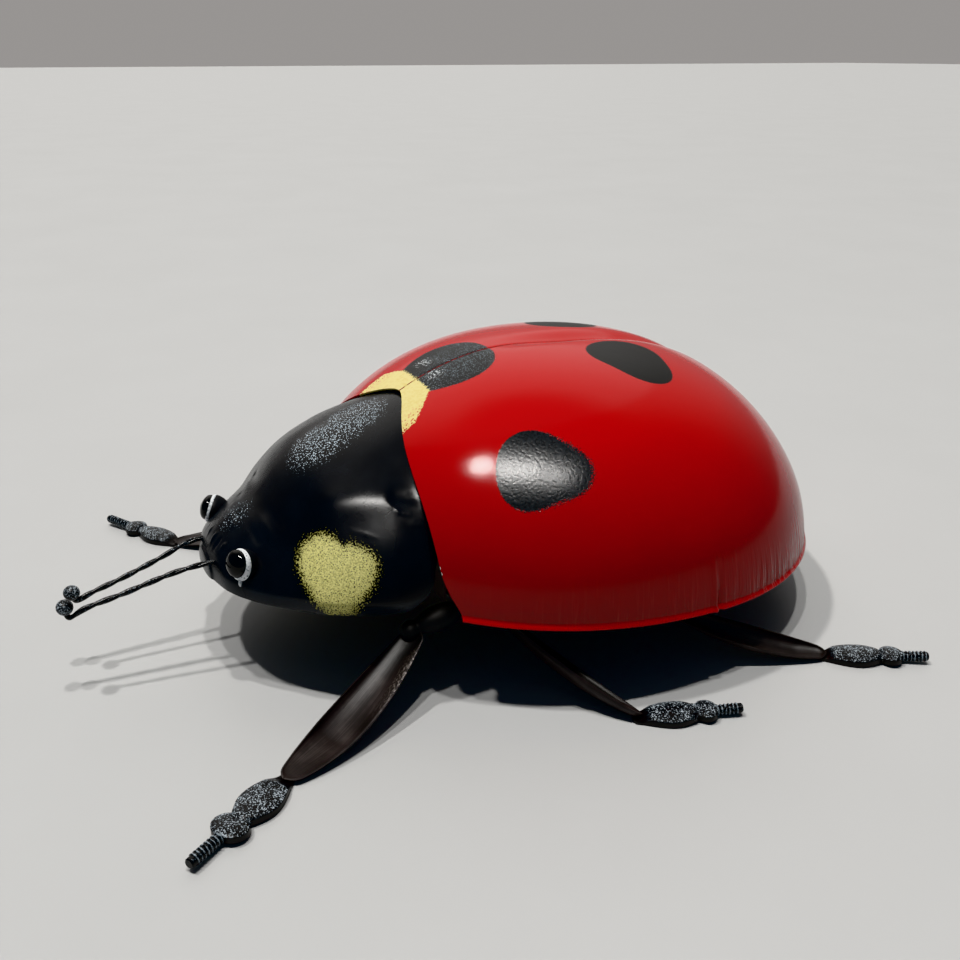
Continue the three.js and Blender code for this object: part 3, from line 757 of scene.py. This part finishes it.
def makeClaw(name, leg):
    radius, ribRadius, pitch = claw["radius"], claw["ribRadius"], claw["pitch"]
    whole = leg["claw"] + claw["overlap"]
    ribStart, ribEnd, ribFoot = claw["rib"]
    profile = [(radius - 0.3, 0), (radius, 0.3)]
    at = pitch / 2
    while at < whole - pitch:
        profile += [(radius, at), (ribRadius, at + pitch * ribStart),
                    (ribRadius, at + pitch * ribEnd), (radius, at + pitch * ribFoot)]
        at += pitch
    profile += [(radius, whole - 0.6), (radius - claw["chamfer"], whole)]
    piece = turned(name, profile, claw["steps"])
    crest = piece.data.attributes.new("crest", "FLOAT", "POINT")  # 1 on the ribs, for their silver
    for vertex, mark in zip(piece.data.vertices, crest.data):
        mark.value = clamp((vertex.co.xy.length / mm - radius) / (ribRadius - radius))
    start, direction = footStart(leg)
    axis = (direction + Vector((0, 0, claw["climb"]))).normalized()
    start += direction * (leg["length"] + claw["gap"])
    start.z = (leg["length"] - foot["flat"]) * foot["climb"] + foot["wall"] * claw["lift"]
    start -= axis * claw["overlap"]
    settle(piece, standing(start, axis))
    smoothed(piece, 35)
    return piece


def makeCoxa(name, leg):
    start, end = Vector(leg["coxa"][0]), Vector(leg["coxa"][1])
    along, side, up, length = legFrame(start, end)
    lobes = [(length * coxa["bigAt"], coxa["bigRadius"], coxa["bigReach"]),
             (length - coxa["smallRadius"], coxa["smallRadius"], coxa["smallRadius"]),
             (length * coxa["stemAt"], coxa["stemRadius"], length * coxa["stemAt"])]
    turn = Matrix((side, along, up)).transposed().to_4x4()
    parts = []
    for at, radius, reach in lobes:
        deselectAll()
        bpy.ops.mesh.primitive_uv_sphere_add(segments=32, ring_count=16, radius=1)
        part = named(name)
        scale = Matrix.Diagonal((radius * mm, reach * mm, radius * coxa["flatness"] * mm, 1))
        centre = start + along * at - Vector((0, 0, leg["drop"])) * min(1, 2 * at / length)
        part.matrix_world = Matrix.Translation(toPart(*centre)) @ turn @ scale
        bpy.ops.object.transform_apply(location=True, rotation=True, scale=True)
        parts.append(part)
    activate(*parts)
    bpy.ops.object.join()
    piece = named(name)
    remesh = piece.modifiers.new("weld", "REMESH")
    remesh.mode = "VOXEL"
    remesh.voxel_size = coxa["voxel"] * mm
    soften = piece.modifiers.new("soften", "SMOOTH")
    soften.factor = 0.5
    soften.iterations = coxa["soften"]
    applyAll(piece)
    smoothed(piece, 80)
    return piece


def makeLeg(place, side, leg, materials):
    # always made on the left, and turned over for the right
    names = {kind: f"{place}{kind.capitalize()}{side}" for kind in materials}
    pieces = {"coxa": makeCoxa(names["coxa"], leg)}
    sheets = (("femur", femur, femurPoint, 1), ("tarsus", foot, tarsusPoint, -1))
    for kind, grid, build, offset in sheets:
        pieces[kind] = shapedGrid(names[kind], grid["columns"], grid["rows"], build(leg))
        thickened(pieces[kind], grid["sheet"], offset)
    pieces["claw"] = makeClaw(names["claw"], leg)
    for kind, piece in pieces.items():
        if side == "Right":
            turnOver(piece)
        material, slot = materials[kind]
        dress(piece, material, slot, f"{place}_{side.lower()}_{kind}")


def makeLegs(materials):
    for place, leg in legs.items():
        makeLeg(place, "Left", leg, materials)
        makeLeg(place, "Right", {**leg, **bentLeg} if place == "front" else leg, materials)


# materials

def onMark(add, place, mark):
    # how far along and across a painted mark the place is, from its centre
    offset = add("VectorMath", "SUBTRACT", place, mark["centre"])
    return [add("VectorMath", "DOT_PRODUCT", offset, mark[way]) for way in ("along", "across")]


def edgeDistance(add, place, mark):
    # millimetres outside the edge of a painted mark, below 0 inside it
    # each wave of the edge has a count round it, a height and the degrees where it is highest
    along, across = onMark(add, place, mark)
    turn = add("Math", "ARCTAN2", across, along)
    radius = mark["radius"]
    for count, swell, highest in mark["waves"]:
        wave = add("Math", "MULTIPLY_ADD", turn, count, -count * math.radians(highest))
        radius = add("Math", "MULTIPLY_ADD", add("Math", "COSINE", wave), swell, radius)
    stretched = add("Math", "MULTIPLY", across, mark.get("stretch", 1.0))
    reach = add("VectorMath", "LENGTH", add("CombineXYZ", along, stretched))
    return add("Math", "SUBTRACT", reach, radius)


def raggedMask(add, distance, grain, ragged, soft):
    # 1 inside a mark and 0 outside, with an edge broken up by a grain from 0 to 1
    moved = add("Math", "MULTIPLY_ADD", add("Math", "SUBTRACT", grain, 0.5), ragged, distance)
    return add("MapRange", moved, -soft, soft, 1.0, 0.0)


def dabMask(add, place, dab, grain, ragged, soft):
    # a dab is the place of its middle and how far it reaches
    *middle, reach = dab
    near = add("Math", "SUBTRACT", add("VectorMath", "DISTANCE", place, middle), reach)
    return raggedMask(add, near, grain, ragged, soft)


def specks(add, place, size, reach):
    # 1 on dots of paint about size millimetres apart, 0 between them
    cells = add("TexVoronoi", Vector=place, Scale=1 / size)
    return add("MapRange", cells.outputs["Distance"], reach, reach * 1.4, 1.0, 0.0)


def layered(add, tint, *layers):
    # coats of paint over each other, each with the mask that it shows through
    for mask, coat in layers:
        tint = add("Mix", "RGBA", Factor=mask, _6=tint, _7=coat)
    return tint


sideSpot = {
    "centre": (123.6, 9.2, 140), "along": (0.59, 0.79, -0.17), "across": (-0.5, 0.5, 0.71),
    "radius": 28.5, "waves": [(1, 2.9, 137), (2, 2.0, 9), (3, 2.5, 11)], "grain": 1.9,
}
rearSpot = {
    "centre": (53, 116, 180), "along": (1, 0, 0), "across": (0, 1, 0),
    "radius": 30.4, "waves": [(1, 1.6, 106), (2, 2.8, 7), (3, 2.3, 9)],
}
middleSpot = {
    "centre": (0, -2.5, 177), "along": (1, 0, 0), "across": (0, 1, 0), "stretch": 1.05,
    "radius": 36, "waves": [(3, 1.2, 30)],
    "dot": 1.2, "cornerFrom": -34.0, "cornerTo": -14.0,
    "dabs": [(-18, -12.5, 176, 5.0), (8, -15, 176, 5.0)],
}
creamBand = {"rearY": -25.5, "shoulder": 24, "reach": 47, "ragged": 11.0, "missedDot": 2.1}
wingPaint = {
    # low and high are the reds low down and up top: painted shade, darker towards the rim
    "low": "#940204", "high": "#be0406", "lowZ": 98.0, "highZ": 168.0,
    "black": "#111315", "grain": [(0.3, "#121518"), (0.7, "#2a2e32")],
    "silver": "#9aaab6", "white": "#dfe5e8", "cream": [(0.3, "#e2cd7c"), (0.55, "#f4e59c")],
    "seam": "#8a1a14", "streak": "#c8504c", "lip": "#e0100c", "steel": "#efe4e0",
    "rough": 0.15, "markRough": 0.24, "mattRough": 0.42,
    "fine": 1.1, "dabs": 0.35, "broad": 0.02, "waver": 0.12,  # noise cells per millimetre
    "streakPitch": 2.6, "streakReach": 42, "rimDotPitch": 9.0,
    # the front-edge dabs are painted highlights on the rolled edge, each a middle and a reach
    "dotsAndGlints": [(118.6, -61.5, 87, 2.0), (120.4, -60.6, 84, 1.4), (104, -59, 108, 0.7)],
}


def makeRedEnamel():
    # gloss enamel sprayed on pressed steel: clear reflections that waver with the sheet
    material, add, place = newMaterial("redGlossEnamel")
    x, y, z = add("SeparateXYZ", place).outputs
    side = add("Math", "ABSOLUTE", x)
    mirrored = add("CombineXYZ", side, y, z)
    fine = add("TexNoise", Vector=place, Scale=wingPaint["fine"], Detail=2.0, Roughness=0.6)
    dabs = add("TexNoise", Vector=place, Scale=wingPaint["dabs"], Detail=4.0, Roughness=0.65)
    broad = add("TexNoise", Vector=place, Scale=wingPaint["broad"], Detail=2.0)
    leather = add("TexNoise", Vector=place, Scale=1 / sideSpot["grain"], Detail=1.0)
    thick = add("Math", "MULTIPLY_ADD", broad, 24.0, z)  # painted shade: the red is darker low down and lighter towards the top, with a broad random waver
    paintedTopLight = add("MapRange", thick, wingPaint["lowZ"], wingPaint["highZ"], 0.0, 1.0)

    # black marks, the side ones dabbed on thickly
    rearward = onMark(add, mirrored, sideSpot)[0]
    ragged = add("MapRange", rearward, -18.0, 12.0, 2.0, 13.0)  # the front edge is crisp
    sideMask = raggedMask(add, edgeDistance(add, mirrored, sideSpot), fine, ragged, 0.4)
    rearMask = raggedMask(add, edgeDistance(add, mirrored, rearSpot), fine, 1.6, 0.5)
    middleMask = raggedMask(add, edgeDistance(add, place, middleSpot), fine, 4.0, 0.4)
    black = add("Math", "MAXIMUM", add("Math", "MAXIMUM", sideMask, rearMask), middleMask)
    grainTint = add("ValToRGB", wingPaint["grain"], leather)
    blackTint = layered(add, wingPaint["black"], (sideMask, grainTint))

    # cream band behind the front edge, brushed on by hand
    beyond = add("Math", "MAXIMUM", add("Math", "SUBTRACT", side, creamBand["shoulder"]), 0.0)
    beyond = add("Math", "MULTIPLY", beyond, add("MapRange", x, -10.0, 10.0, 0.3, 0.8))
    creamRear = add("Math", "SUBTRACT", y, add("Math", "SUBTRACT", creamBand["rearY"], beyond))
    creamSide = add("Math", "SUBTRACT", side, creamBand["reach"])
    rounded = add("Math", "POWER", add("Math", "DIVIDE", side, creamBand["reach"]), 6.0)
    creamEdge = add("Math", "MAXIMUM", creamRear, creamSide)
    creamEdge = add("Math", "MULTIPLY_ADD", rounded, 5.0, creamEdge)
    brush = add("Math", "MULTIPLY_ADD", fine, 0.5, add("Math", "MULTIPLY", dabs, 0.5))
    cream = raggedMask(add, creamEdge, brush, creamBand["ragged"], 0.4)
    gaps = add("MapRange", creamSide, -19.0, -4.0, 0.0, 1.0)
    missed = add("Math", "MULTIPLY", gaps, specks(add, place, creamBand["missedDot"], 0.3))
    cream = add("Math", "MULTIPLY", cream, add("Math", "SUBTRACT", 1.0, missed))
    creamTint = add("ValToRGB", wingPaint["cream"], dabs)
    seam = add("MapRange", side, 0.5, 1.0, 1.0, 0.0)
    seam = add("Math", "MULTIPLY", seam, add("MapRange", dabs, 0.42, 0.52, 0.1, 1.0))

    # silver-blue dots over the middle spot, and a few white dabs on them
    patch = add("TexNoise", Vector=place, Scale=0.05, Detail=2.0)
    corner = add("MapRange", add("Math", "ADD", x, y),
                 middleSpot["cornerFrom"], middleSpot["cornerTo"], 0.15, 1.0)
    patchy = add("Math", "MULTIPLY", add("MapRange", patch, 0.38, 0.6, 0.45, 1.0), corner)
    sparkle = add("Math", "MULTIPLY", specks(add, place, middleSpot["dot"], 0.24), patchy)
    sparkle = add("Math", "MULTIPLY", add("Math", "MULTIPLY", sparkle, middleMask), 0.85)
    whites = []
    for dab in middleSpot["dabs"]:
        mask = dabMask(add, place, dab, fine, 26.0, 0.3)
        mask = add("Math", "MULTIPLY", mask, specks(add, place, 1.7, 0.34))
        whites.append((mask, wingPaint["white"]))

    # draw lines of the press stand upright above the rim; their pale tint is a painted reflection
    # of the floor on their ridges
    rimZ = add("Math", "MULTIPLY_ADD", y, wingCase["tilt"],
               wingCase["rimZ"] - wingCase["tilt"] * (shiftY + domeCentreY))
    height = add("Math", "SUBTRACT", z, rimZ)
    around = add("Math", "ARCTAN2", add("Math", "SUBTRACT", y, shiftY + domeCentreY), side)
    around = add("Math", "MULTIPLY", around, wingCase["halfWidth"] / wingPaint["streakPitch"])
    upright = add("CombineXYZ", around, add("Math", "MULTIPLY", height, 0.02), 0.0)
    streak = add("TexNoise", Vector=upright, Scale=1.0, Detail=2.0, Roughness=0.6)
    low = add("MapRange", height, 2.0, wingPaint["streakReach"], 1.0, 0.0)
    low = add("Math", "MULTIPLY", low, add("MapRange", y, -60.0, 110.0, 0.15, 1.0))
    pale = add("Math", "MULTIPLY", add("MapRange", streak, 0.56, 0.72, 0.0, 0.4), low)
    # painted highlight: the rolled lip is painted a brighter red where it catches the light from
    # above
    lip = add("MapRange", height, 1.5, 3.5, 0.5, 0.0)

    # white dots along the rim, and painted highlights: white dabs where the rolled edge at the
    # front corners catches the lamps
    dotsAndGlints = add("Math", "MULTIPLY", specks(add, place, wingPaint["rimDotPitch"], 0.035),
                add("MapRange", height, 1.6, 2.6, 1.0, 0.0))
    for glintDab in wingPaint["dotsAndGlints"]:
        dotsAndGlints = add("Math", "MAXIMUM", dotsAndGlints, dabMask(add, mirrored, glintDab, fine, 2.0, 0.2))

    tint = layered(add, wingPaint["low"], (paintedTopLight, wingPaint["high"]), (black, blackTint),
                   (sparkle, wingPaint["silver"]), *whites, (cream, creamTint),
                   (seam, wingPaint["seam"]), (pale, wingPaint["streak"]),
                   (lip, wingPaint["lip"]), (dotsAndGlints, wingPaint["steel"]))
    markRough = add("Mix", Factor=sideMask, _2=wingPaint["mattRough"], _3=wingPaint["markRough"])
    rough = add("Mix", Factor=add("Math", "MAXIMUM", black, cream),
                _2=wingPaint["rough"], _3=markRough)
    waver = add("TexNoise", Vector=place, Scale=wingPaint["waver"], Detail=3.0, Roughness=0.5)
    peel = add("Math", "MULTIPLY", leather, add("Math", "MULTIPLY_ADD", sideMask, 0.1, 0.012))
    relief = add("Math", "MULTIPLY_ADD", waver, 0.05, peel)
    relief = add("Math", "MULTIPLY_ADD", cream, 0.12, relief)
    relief = add("Math", "MULTIPLY_ADD", add("Math", "MULTIPLY", streak, low), 0.9, relief)
    finishMaterial(add, relief, Base_Color=tint, Roughness=rough)
    return material


yellowSpot = {
    "centre": (92, -117, 84), "along": (0.62, 0.78, 0.0), "across": (-0.38, 0.3, 0.87),
    "radius": 23.9, "waves": [(1, 1.4, -170), (2, 2.3, -30), (3, 2.9, 29)], "ragged": 24.0,
    "notchX": 0.4, "notchY": 21, "notchWidth": 7.2, "notchDepth": 3.5, "poreDot": 1.4,
}
sparkleBand = {
    "centre": (6, -85.5, 145), "along": (1, 0, 0), "across": (0, 0.93, 0.37),
    "radius": 33, "waves": [(2, 11.5, -67), (3, 1.8, 31)], "head": (4, -161, 95), "dot": 1.2,
}
hoodPaint = {
    "black": [(0.35, "#06080d"), (0.7, "#0e1218")], "hem": "#33383e", "silver": "#cfe0ec",
    "yellow": [(0.3, "#b3ad68"), (0.6, "#ece79c")], "yellowRough": 0.6,
    "fine": 0.9, "broad": 0.04, "stipple": 1.05,  # noise cells per millimetre
}


def makeBlackEnamel(name, marked, roughness):
    # satin black over pressed steel: soft highlights with a fine grain in them
    material, add, place = newMaterial(name)
    fine = add("TexNoise", Vector=place, Scale=hoodPaint["fine"], Detail=3.0, Roughness=0.6)
    broad = add("TexNoise", Vector=place, Scale=hoodPaint["broad"], Detail=3.0)
    tint = add("ValToRGB", hoodPaint["black"], broad)
    relief = add("Math", "MULTIPLY", fine, 0.03)
    rough = add("MapRange", broad, 0.3, 0.7, roughness, roughness + 0.08)
    if marked:
        x, y, z = add("SeparateXYZ", place).outputs
        mirrored = add("CombineXYZ", add("Math", "ABSOLUTE", x), y, z)
        # painted reflection: the hem band is painted grey where it faces the pale floor
        wearAndSheen = add("MapRange", add("Math", "ADD", z, fine), 66.0, 69.0, 0.45, 0.0)  # the hem

        # the yellow mark: a shield with a notch in its top edge, dabbed on with a coarse brush
        along, across = onMark(add, mirrored, yellowSpot)
        fromNotch = add("CombineXYZ", add("Math", "SUBTRACT", along, yellowSpot["notchX"]),
                        add("Math", "SUBTRACT", across, yellowSpot["notchY"]), 0.0)
        notch = add("MapRange", "SMOOTHSTEP", add("VectorMath", "LENGTH", fromNotch),
                    0.0, yellowSpot["notchWidth"], yellowSpot["notchDepth"], 0.0)
        distance = add("Math", "ADD", edgeDistance(add, mirrored, yellowSpot), notch)
        stipple = add("TexNoise", Vector=place, Scale=hoodPaint["stipple"], Detail=1.0,
                      Roughness=0.6)
        yellow = raggedMask(add, distance, stipple, yellowSpot["ragged"], 0.5)
        pores = add("Math", "MULTIPLY", specks(add, place, yellowSpot["poreDot"], 0.22),
                    add("MapRange", distance, -22.0, 0.0, 0.6, 1.0))
        yellow = add("Math", "MULTIPLY", yellow, add("Math", "SUBTRACT", 1.0, pores))
        yellowTint = add("ValToRGB", hoodPaint["yellow"], stipple)

        # silver-blue sparkle over the ridge, and a little of it on the head
        band = edgeDistance(add, place, sparkleBand)
        cover = add("MapRange", "SMOOTHSTEP", band, -19.0, 6.0, 0.9, 0.0)
        headAway = add("VectorMath", "DISTANCE", place, sparkleBand["head"])
        headCover = add("MapRange", "SMOOTHSTEP", headAway, 4.0, 20.0, 0.4, 0.0)
        cover = add("Math", "MAXIMUM", cover, headCover)
        patch = add("TexNoise", Vector=place, Scale=hoodPaint["fine"], Detail=2.0, Roughness=0.7)
        level = add("Math", "MULTIPLY_ADD", add("Math", "SUBTRACT", patch, 0.5), 2.4, cover)
        glitter = add("Math", "MULTIPLY", add("MapRange", level, 0.34, 0.5, 0.0, 1.0),
                      add("MapRange", cover, 0.04, 0.2, 0.0, 1.0))
        glitter = add("Math", "MULTIPLY", glitter, specks(add, place, sparkleBand["dot"], 0.26))
        tint = layered(add, tint, (wearAndSheen, hoodPaint["hem"]), (yellow, yellowTint),
                       (glitter, hoodPaint["silver"]))
        rough = add("Mix", Factor=yellow, _2=rough, _3=hoodPaint["yellowRough"])
        relief = add("Math", "MULTIPLY_ADD", yellow, 0.12, relief)
    finishMaterial(add, relief, Base_Color=tint, Roughness=rough)
    return material


plainPaints = {
    # thin primer inside the shell, dull and dusty
    "innerPrimer": {
        "scale": 0.06, "detail": 5.0, "grain": 0.6, "relief": 0.2, "rough": 0.62,
        "stops": [(0.3, "#262020"), (0.7, "#403839")],
    },
    # white gloss dabbed on the eye's bevel, rubbed through to grey
    "whiteDabbedEnamel": {
        "scale": 0.7, "detail": 4.0, "grain": 0.7, "relief": 0.15, "rough": 0.3,
        "stops": [(0.33, "#3c434a"), (0.4, "#b4bec5"), (0.48, "#eef1f3")],
    },
    # thick black gloss that ran level, with a clear lamp glint
    "blackDroppedEnamel": {
        "scale": 0.25, "detail": 2.0, "grain": 0.5, "relief": 0.06, "rough": 0.09,
        "stops": [(0.3, "#030304"), (0.7, "#0a0b0d")],
    },
}


def makePlainPaint(name):
    paint = plainPaints[name]
    material, add, place = newMaterial(name)
    cloud = add("TexNoise", Vector=place, Scale=paint["scale"], Detail=paint["detail"],
                Roughness=paint["grain"])
    tint = add("ValToRGB", paint["stops"], cloud)
    relief = add("Math", "MULTIPLY", cloud, paint["relief"])
    finishMaterial(add, relief, Base_Color=tint, Roughness=paint["rough"])
    return material


legPaint = {
    "speckle": [(0.0, "#0e0c0d"), (0.5, "#41484e"), (1.0, "#b4bfc7")],
    "speckleLevel": (0.64, 0.73), "speckleRough": (0.35, 0.55),
    "brown": [(0.4, "#1b1918"), (0.55, "#2c2828"), (0.7, "#474241")], "brownRough": 0.42,
    "bareSteel": "#a8a19c", "wire": [(0.0, "#0c0d0f"), (1.0, "#8f9aa2")], "wireRough": 0.24,
}


def makeSpeckledEnamel(name, lowest, heelShare=0.0):
    # black enamel dry-brushed with silver-grey, which catches on its grain; lowest is the
    # steepest slope that it reaches
    material, add, place = newMaterial(name)
    grain = add("TexNoise", Vector=place, Scale=1.0, Detail=2.0, Roughness=0.7)
    cloud = add("TexNoise", Vector=place, Scale=0.12, Detail=2.0)
    up = add("SeparateXYZ", add("NewGeometry").outputs["Normal"]).outputs[2]
    top = add("MapRange", up, lowest, lowest + 0.35, 0.0, 1.0)
    level = add("Math", "MULTIPLY_ADD", cloud, 0.25, grain)
    silver = add("MapRange", level, *legPaint["speckleLevel"], 0.0, 1.0)
    silver = add("Math", "MULTIPLY", silver, top)
    if heelShare:
        fromHeel = add("SeparateXYZ", add("UVMap")).outputs[1]  # the heel is left dark
        silver = add("Math", "MULTIPLY", silver,
                     add("MapRange", fromHeel, heelShare, heelShare + 0.06, 0.0, 1.0))
    tint = add("ValToRGB", legPaint["speckle"], silver)
    rough = add("MapRange", silver, 0.0, 1.0, *legPaint["speckleRough"])
    finishMaterial(add, add("Math", "MULTIPLY", silver, 0.12), Base_Color=tint, Roughness=rough)
    return material


def makeBrownEnamel():
    # thin brown-black paint brushed along the leg, worn to bare metal by one lip near the hip
    material, add, place = newMaterial("brownBrushedEnamel")
    sheet = add("UVMap")
    fromLip, fromHip, _ = add("SeparateXYZ", sheet).outputs
    streaks = add("TexNoise", Vector=add("Mapping", sheet, Scale=(60, 3, 1)),
                  Scale=1.0, Detail=4.0, Roughness=0.6)
    cloud = add("TexNoise", Vector=place, Scale=0.05, Detail=3.0)
    level = add("Math", "MULTIPLY_ADD", cloud, 0.6, add("Math", "MULTIPLY", streaks, 0.5))
    tint = add("ValToRGB", legPaint["brown"], level)
    scratched = add("Mapping", sheet, Scale=(26, 55, 1), Rotation=(0, 0, 0.7))
    scratches = add("TexNoise", Vector=scratched, Scale=1.0, Detail=4.0, Roughness=0.75)
    wearAndSheen = add("MapRange", scratches, 0.5, 0.58, 0.0, 0.85)
    y = add("SeparateXYZ", place).outputs[1]
    limits = ((fromLip, 0.2, 0.42, 1.0, 0.0), (fromHip, 0.04, 0.1, 0.0, 1.0),
              (fromHip, 0.28, 0.5, 1.0, 0.0), (y, -70.0, -40.0, 1.0, 0.2))  # most in front
    for limit in limits:
        wearAndSheen = add("Math", "MULTIPLY", wearAndSheen, add("MapRange", *limit))
    tint = layered(add, tint, (wearAndSheen, legPaint["bareSteel"]))
    finishMaterial(add, add("Math", "MULTIPLY", streaks, 0.1), Base_Color=tint,
                   Roughness=legPaint["brownRough"])
    return material


def makeWireEnamel(name, silverFrom, ribShare=0.0):
    # black enamel on iron bar and wire, with silver dabs on the high spots and ribs
    material, add, place = newMaterial(name)
    grain = add("TexNoise", Vector=place, Scale=0.6, Detail=3.0, Roughness=0.7)
    crest = add("Attribute", {"attribute_name": "crest"}).outputs["Fac"]
    level = add("Math", "MULTIPLY_ADD", crest, ribShare, grain)
    silver = add("MapRange", level, silverFrom, silverFrom + 0.12, 0.0, 1.0)
    tint = add("ValToRGB", legPaint["wire"], silver)
    finishMaterial(add, add("Math", "MULTIPLY", grain, 0.12), Base_Color=tint,
                   Roughness=legPaint["wireRough"])
    return material


redEnamel = makeRedEnamel()
blackEnamel = makeBlackEnamel("blackMattEnamel", False, 0.55)
hoodEnamel = makeBlackEnamel("blackSatinEnamel", True, 0.22)
innerPaint = makePlainPaint("innerPrimer")
whiteEnamel = makePlainPaint("whiteDabbedEnamel")
pupilEnamel = makePlainPaint("blackDroppedEnamel")
speckledEnamel = makeSpeckledEnamel("speckledEnamel", 0.25, 0.19)
ballEnamel = makeSpeckledEnamel("mottledEnamel", -0.9)
brownEnamel = makeBrownEnamel()
wireEnamel = makeWireEnamel("blackWireEnamel", 0.58)
barEnamel = makeWireEnamel("silveredBarEnamel", 0.62, 0.22)
print("materials made")

makeWingCases(redEnamel, innerPaint)
print("wing cases made")
makeHood(hoodEnamel)
print("pronotum and head made")
makeEyes(blackEnamel, whiteEnamel, pupilEnamel)
print("eyes made")
makeFeelers(wireEnamel, ballEnamel)
print("feelers made")
makeLegs({"coxa": (blackEnamel, "black_enamel"), "femur": (brownEnamel, "brown_enamel"),
          "tarsus": (speckledEnamel, "speckled_enamel"), "claw": (barEnamel, "wire_enamel")})
print("legs made")
for node in ("neck_plate", "front_strap", "rear_strap"):
    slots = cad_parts[node].data.materials
    slots.clear()
    slots.append(innerPaint)


# floor, lamps and camera
studio = {
    "floorSize": 60, "floor": [(0.3, "#bcbdbd"), (0.7, "#bfc0c0")], "floorRough": 0.45,
    "wallAzimuth": 157, "wallLow": "#a09d9b", "wallHigh": "#dedbd6", "room": "#353e48",
    "lamp": "#fffcf8", "lampReach": 2,
}
# azimuth, elevation and size in degrees, power, and whether the lamp makes the glints or the light
lamps = {
    "lampHigh": (125, 84.5, 2.5, 1.05, False),
    "lampUpper": (-138, 82, 2.5, 1.0, False),
    "lampFront": (-135, 67, 3.0, 1.4, False),
    "wallWash": (172, 50, 75.0, 0.4, True),
    "lampRow1": (-80, 66, 8, 0.75, True),
    "lampRow2": (-54, 69, 5, 0.75, True),
    "lampRow3": (-29, 70, 5, 0.75, True),
    "lampRow4": (-4, 66, 5, 0.45, True),
}
cameraView = {
    "lens": 36, "sensor": 36, "place": (0.600875, -0.26195, 0.380),
    "tilt": 65.974, "heading": 64.539,
}


def makeFloor():
    # pale honed stone, plain, with a hint of cloud
    material, add, place = newMaterial("paleHonedStone")
    cloud = add("TexNoise", Vector=place, Scale=0.004, Detail=5.0, Roughness=0.6)
    tint = add("ValToRGB", studio["floor"], cloud)
    shader = add("BsdfPrincipled", Base_Color=tint, Roughness=studio["floorRough"])
    add("OutputMaterial", shader)
    deselectAll()
    bpy.ops.mesh.primitive_plane_add(size=studio["floorSize"])
    floor = named("studioFloor")
    floor.data.materials.append(material)


def makeWorld():
    # a pale wall behind the figure, washed from above, and a dim room in front of it
    world = bpy.data.worlds.new("studio")
    bpy.context.scene.world = world
    world.use_nodes = True
    world.node_tree.nodes.clear()
    add = functools.partial(addNode, world.node_tree)
    direction = add("TexCoord").outputs["Generated"]
    facing = add("VectorMath", "DOT_PRODUCT", direction, aim(studio["wallAzimuth"], 0))
    up = add("SeparateXYZ", direction).outputs[2]
    level = add("VectorMath", "LENGTH", add("VectorMath", "MULTIPLY", direction, (1, 1, 0)))
    facing = add("Math", "DIVIDE", facing, add("Math", "MAXIMUM", level, 0.01))
    behind = add("MapRange", "SMOOTHSTEP", facing, 0.1, 0.85, 0.0, 1.0)
    top = add("MapRange", "SMOOTHSTEP", up, 0.82, 0.95, 1.0, 0.0)
    wall = layered(add, studio["wallLow"],
                   (add("MapRange", up, 0.1, 0.65, 0.0, 1.0), studio["wallHigh"]))
    tint = layered(add, studio["room"], (add("Math", "MULTIPLY", behind, top), wall))
    add("OutputWorld", add("Background", tint, 1.0))


def linked(name, data):
    thing = bpy.data.objects.new(name, data)
    bpy.context.scene.collection.objects.link(thing)
    return thing


def addLamp(name, azimuth, elevation, size, power, glints):
    # a far lamp that makes either the paint's light and shadows or the glints in it
    data = bpy.data.lights.new(name, "SUN")
    data.angle = math.radians(size)
    data.energy = power
    data.color = colour(studio["lamp"])[:3]
    lamp = linked(name, data)
    direction = aim(azimuth, elevation)
    lamp.location = direction * studio["lampReach"]
    lamp.rotation_euler = direction.to_track_quat("Z", "Y").to_euler()
    lamp.visible_diffuse = not glints
    lamp.visible_glossy = glints


def addCamera():
    data = bpy.data.cameras.new("camera")
    data.lens = cameraView["lens"]
    data.sensor_width = cameraView["sensor"]
    camera = linked("camera", data)
    camera.location = cameraView["place"]
    tilt, heading = math.radians(cameraView["tilt"]), math.radians(cameraView["heading"])
    camera.rotation_euler = (tilt, 0, heading)
    bpy.context.scene.camera = camera


makeFloor()
makeWorld()
for name, settings in lamps.items():
    addLamp(name, *settings)
addCamera()
bpy.context.scene.view_settings.view_transform = "Khronos PBR Neutral"
print("floor, lamps and camera made")

deselectAll()
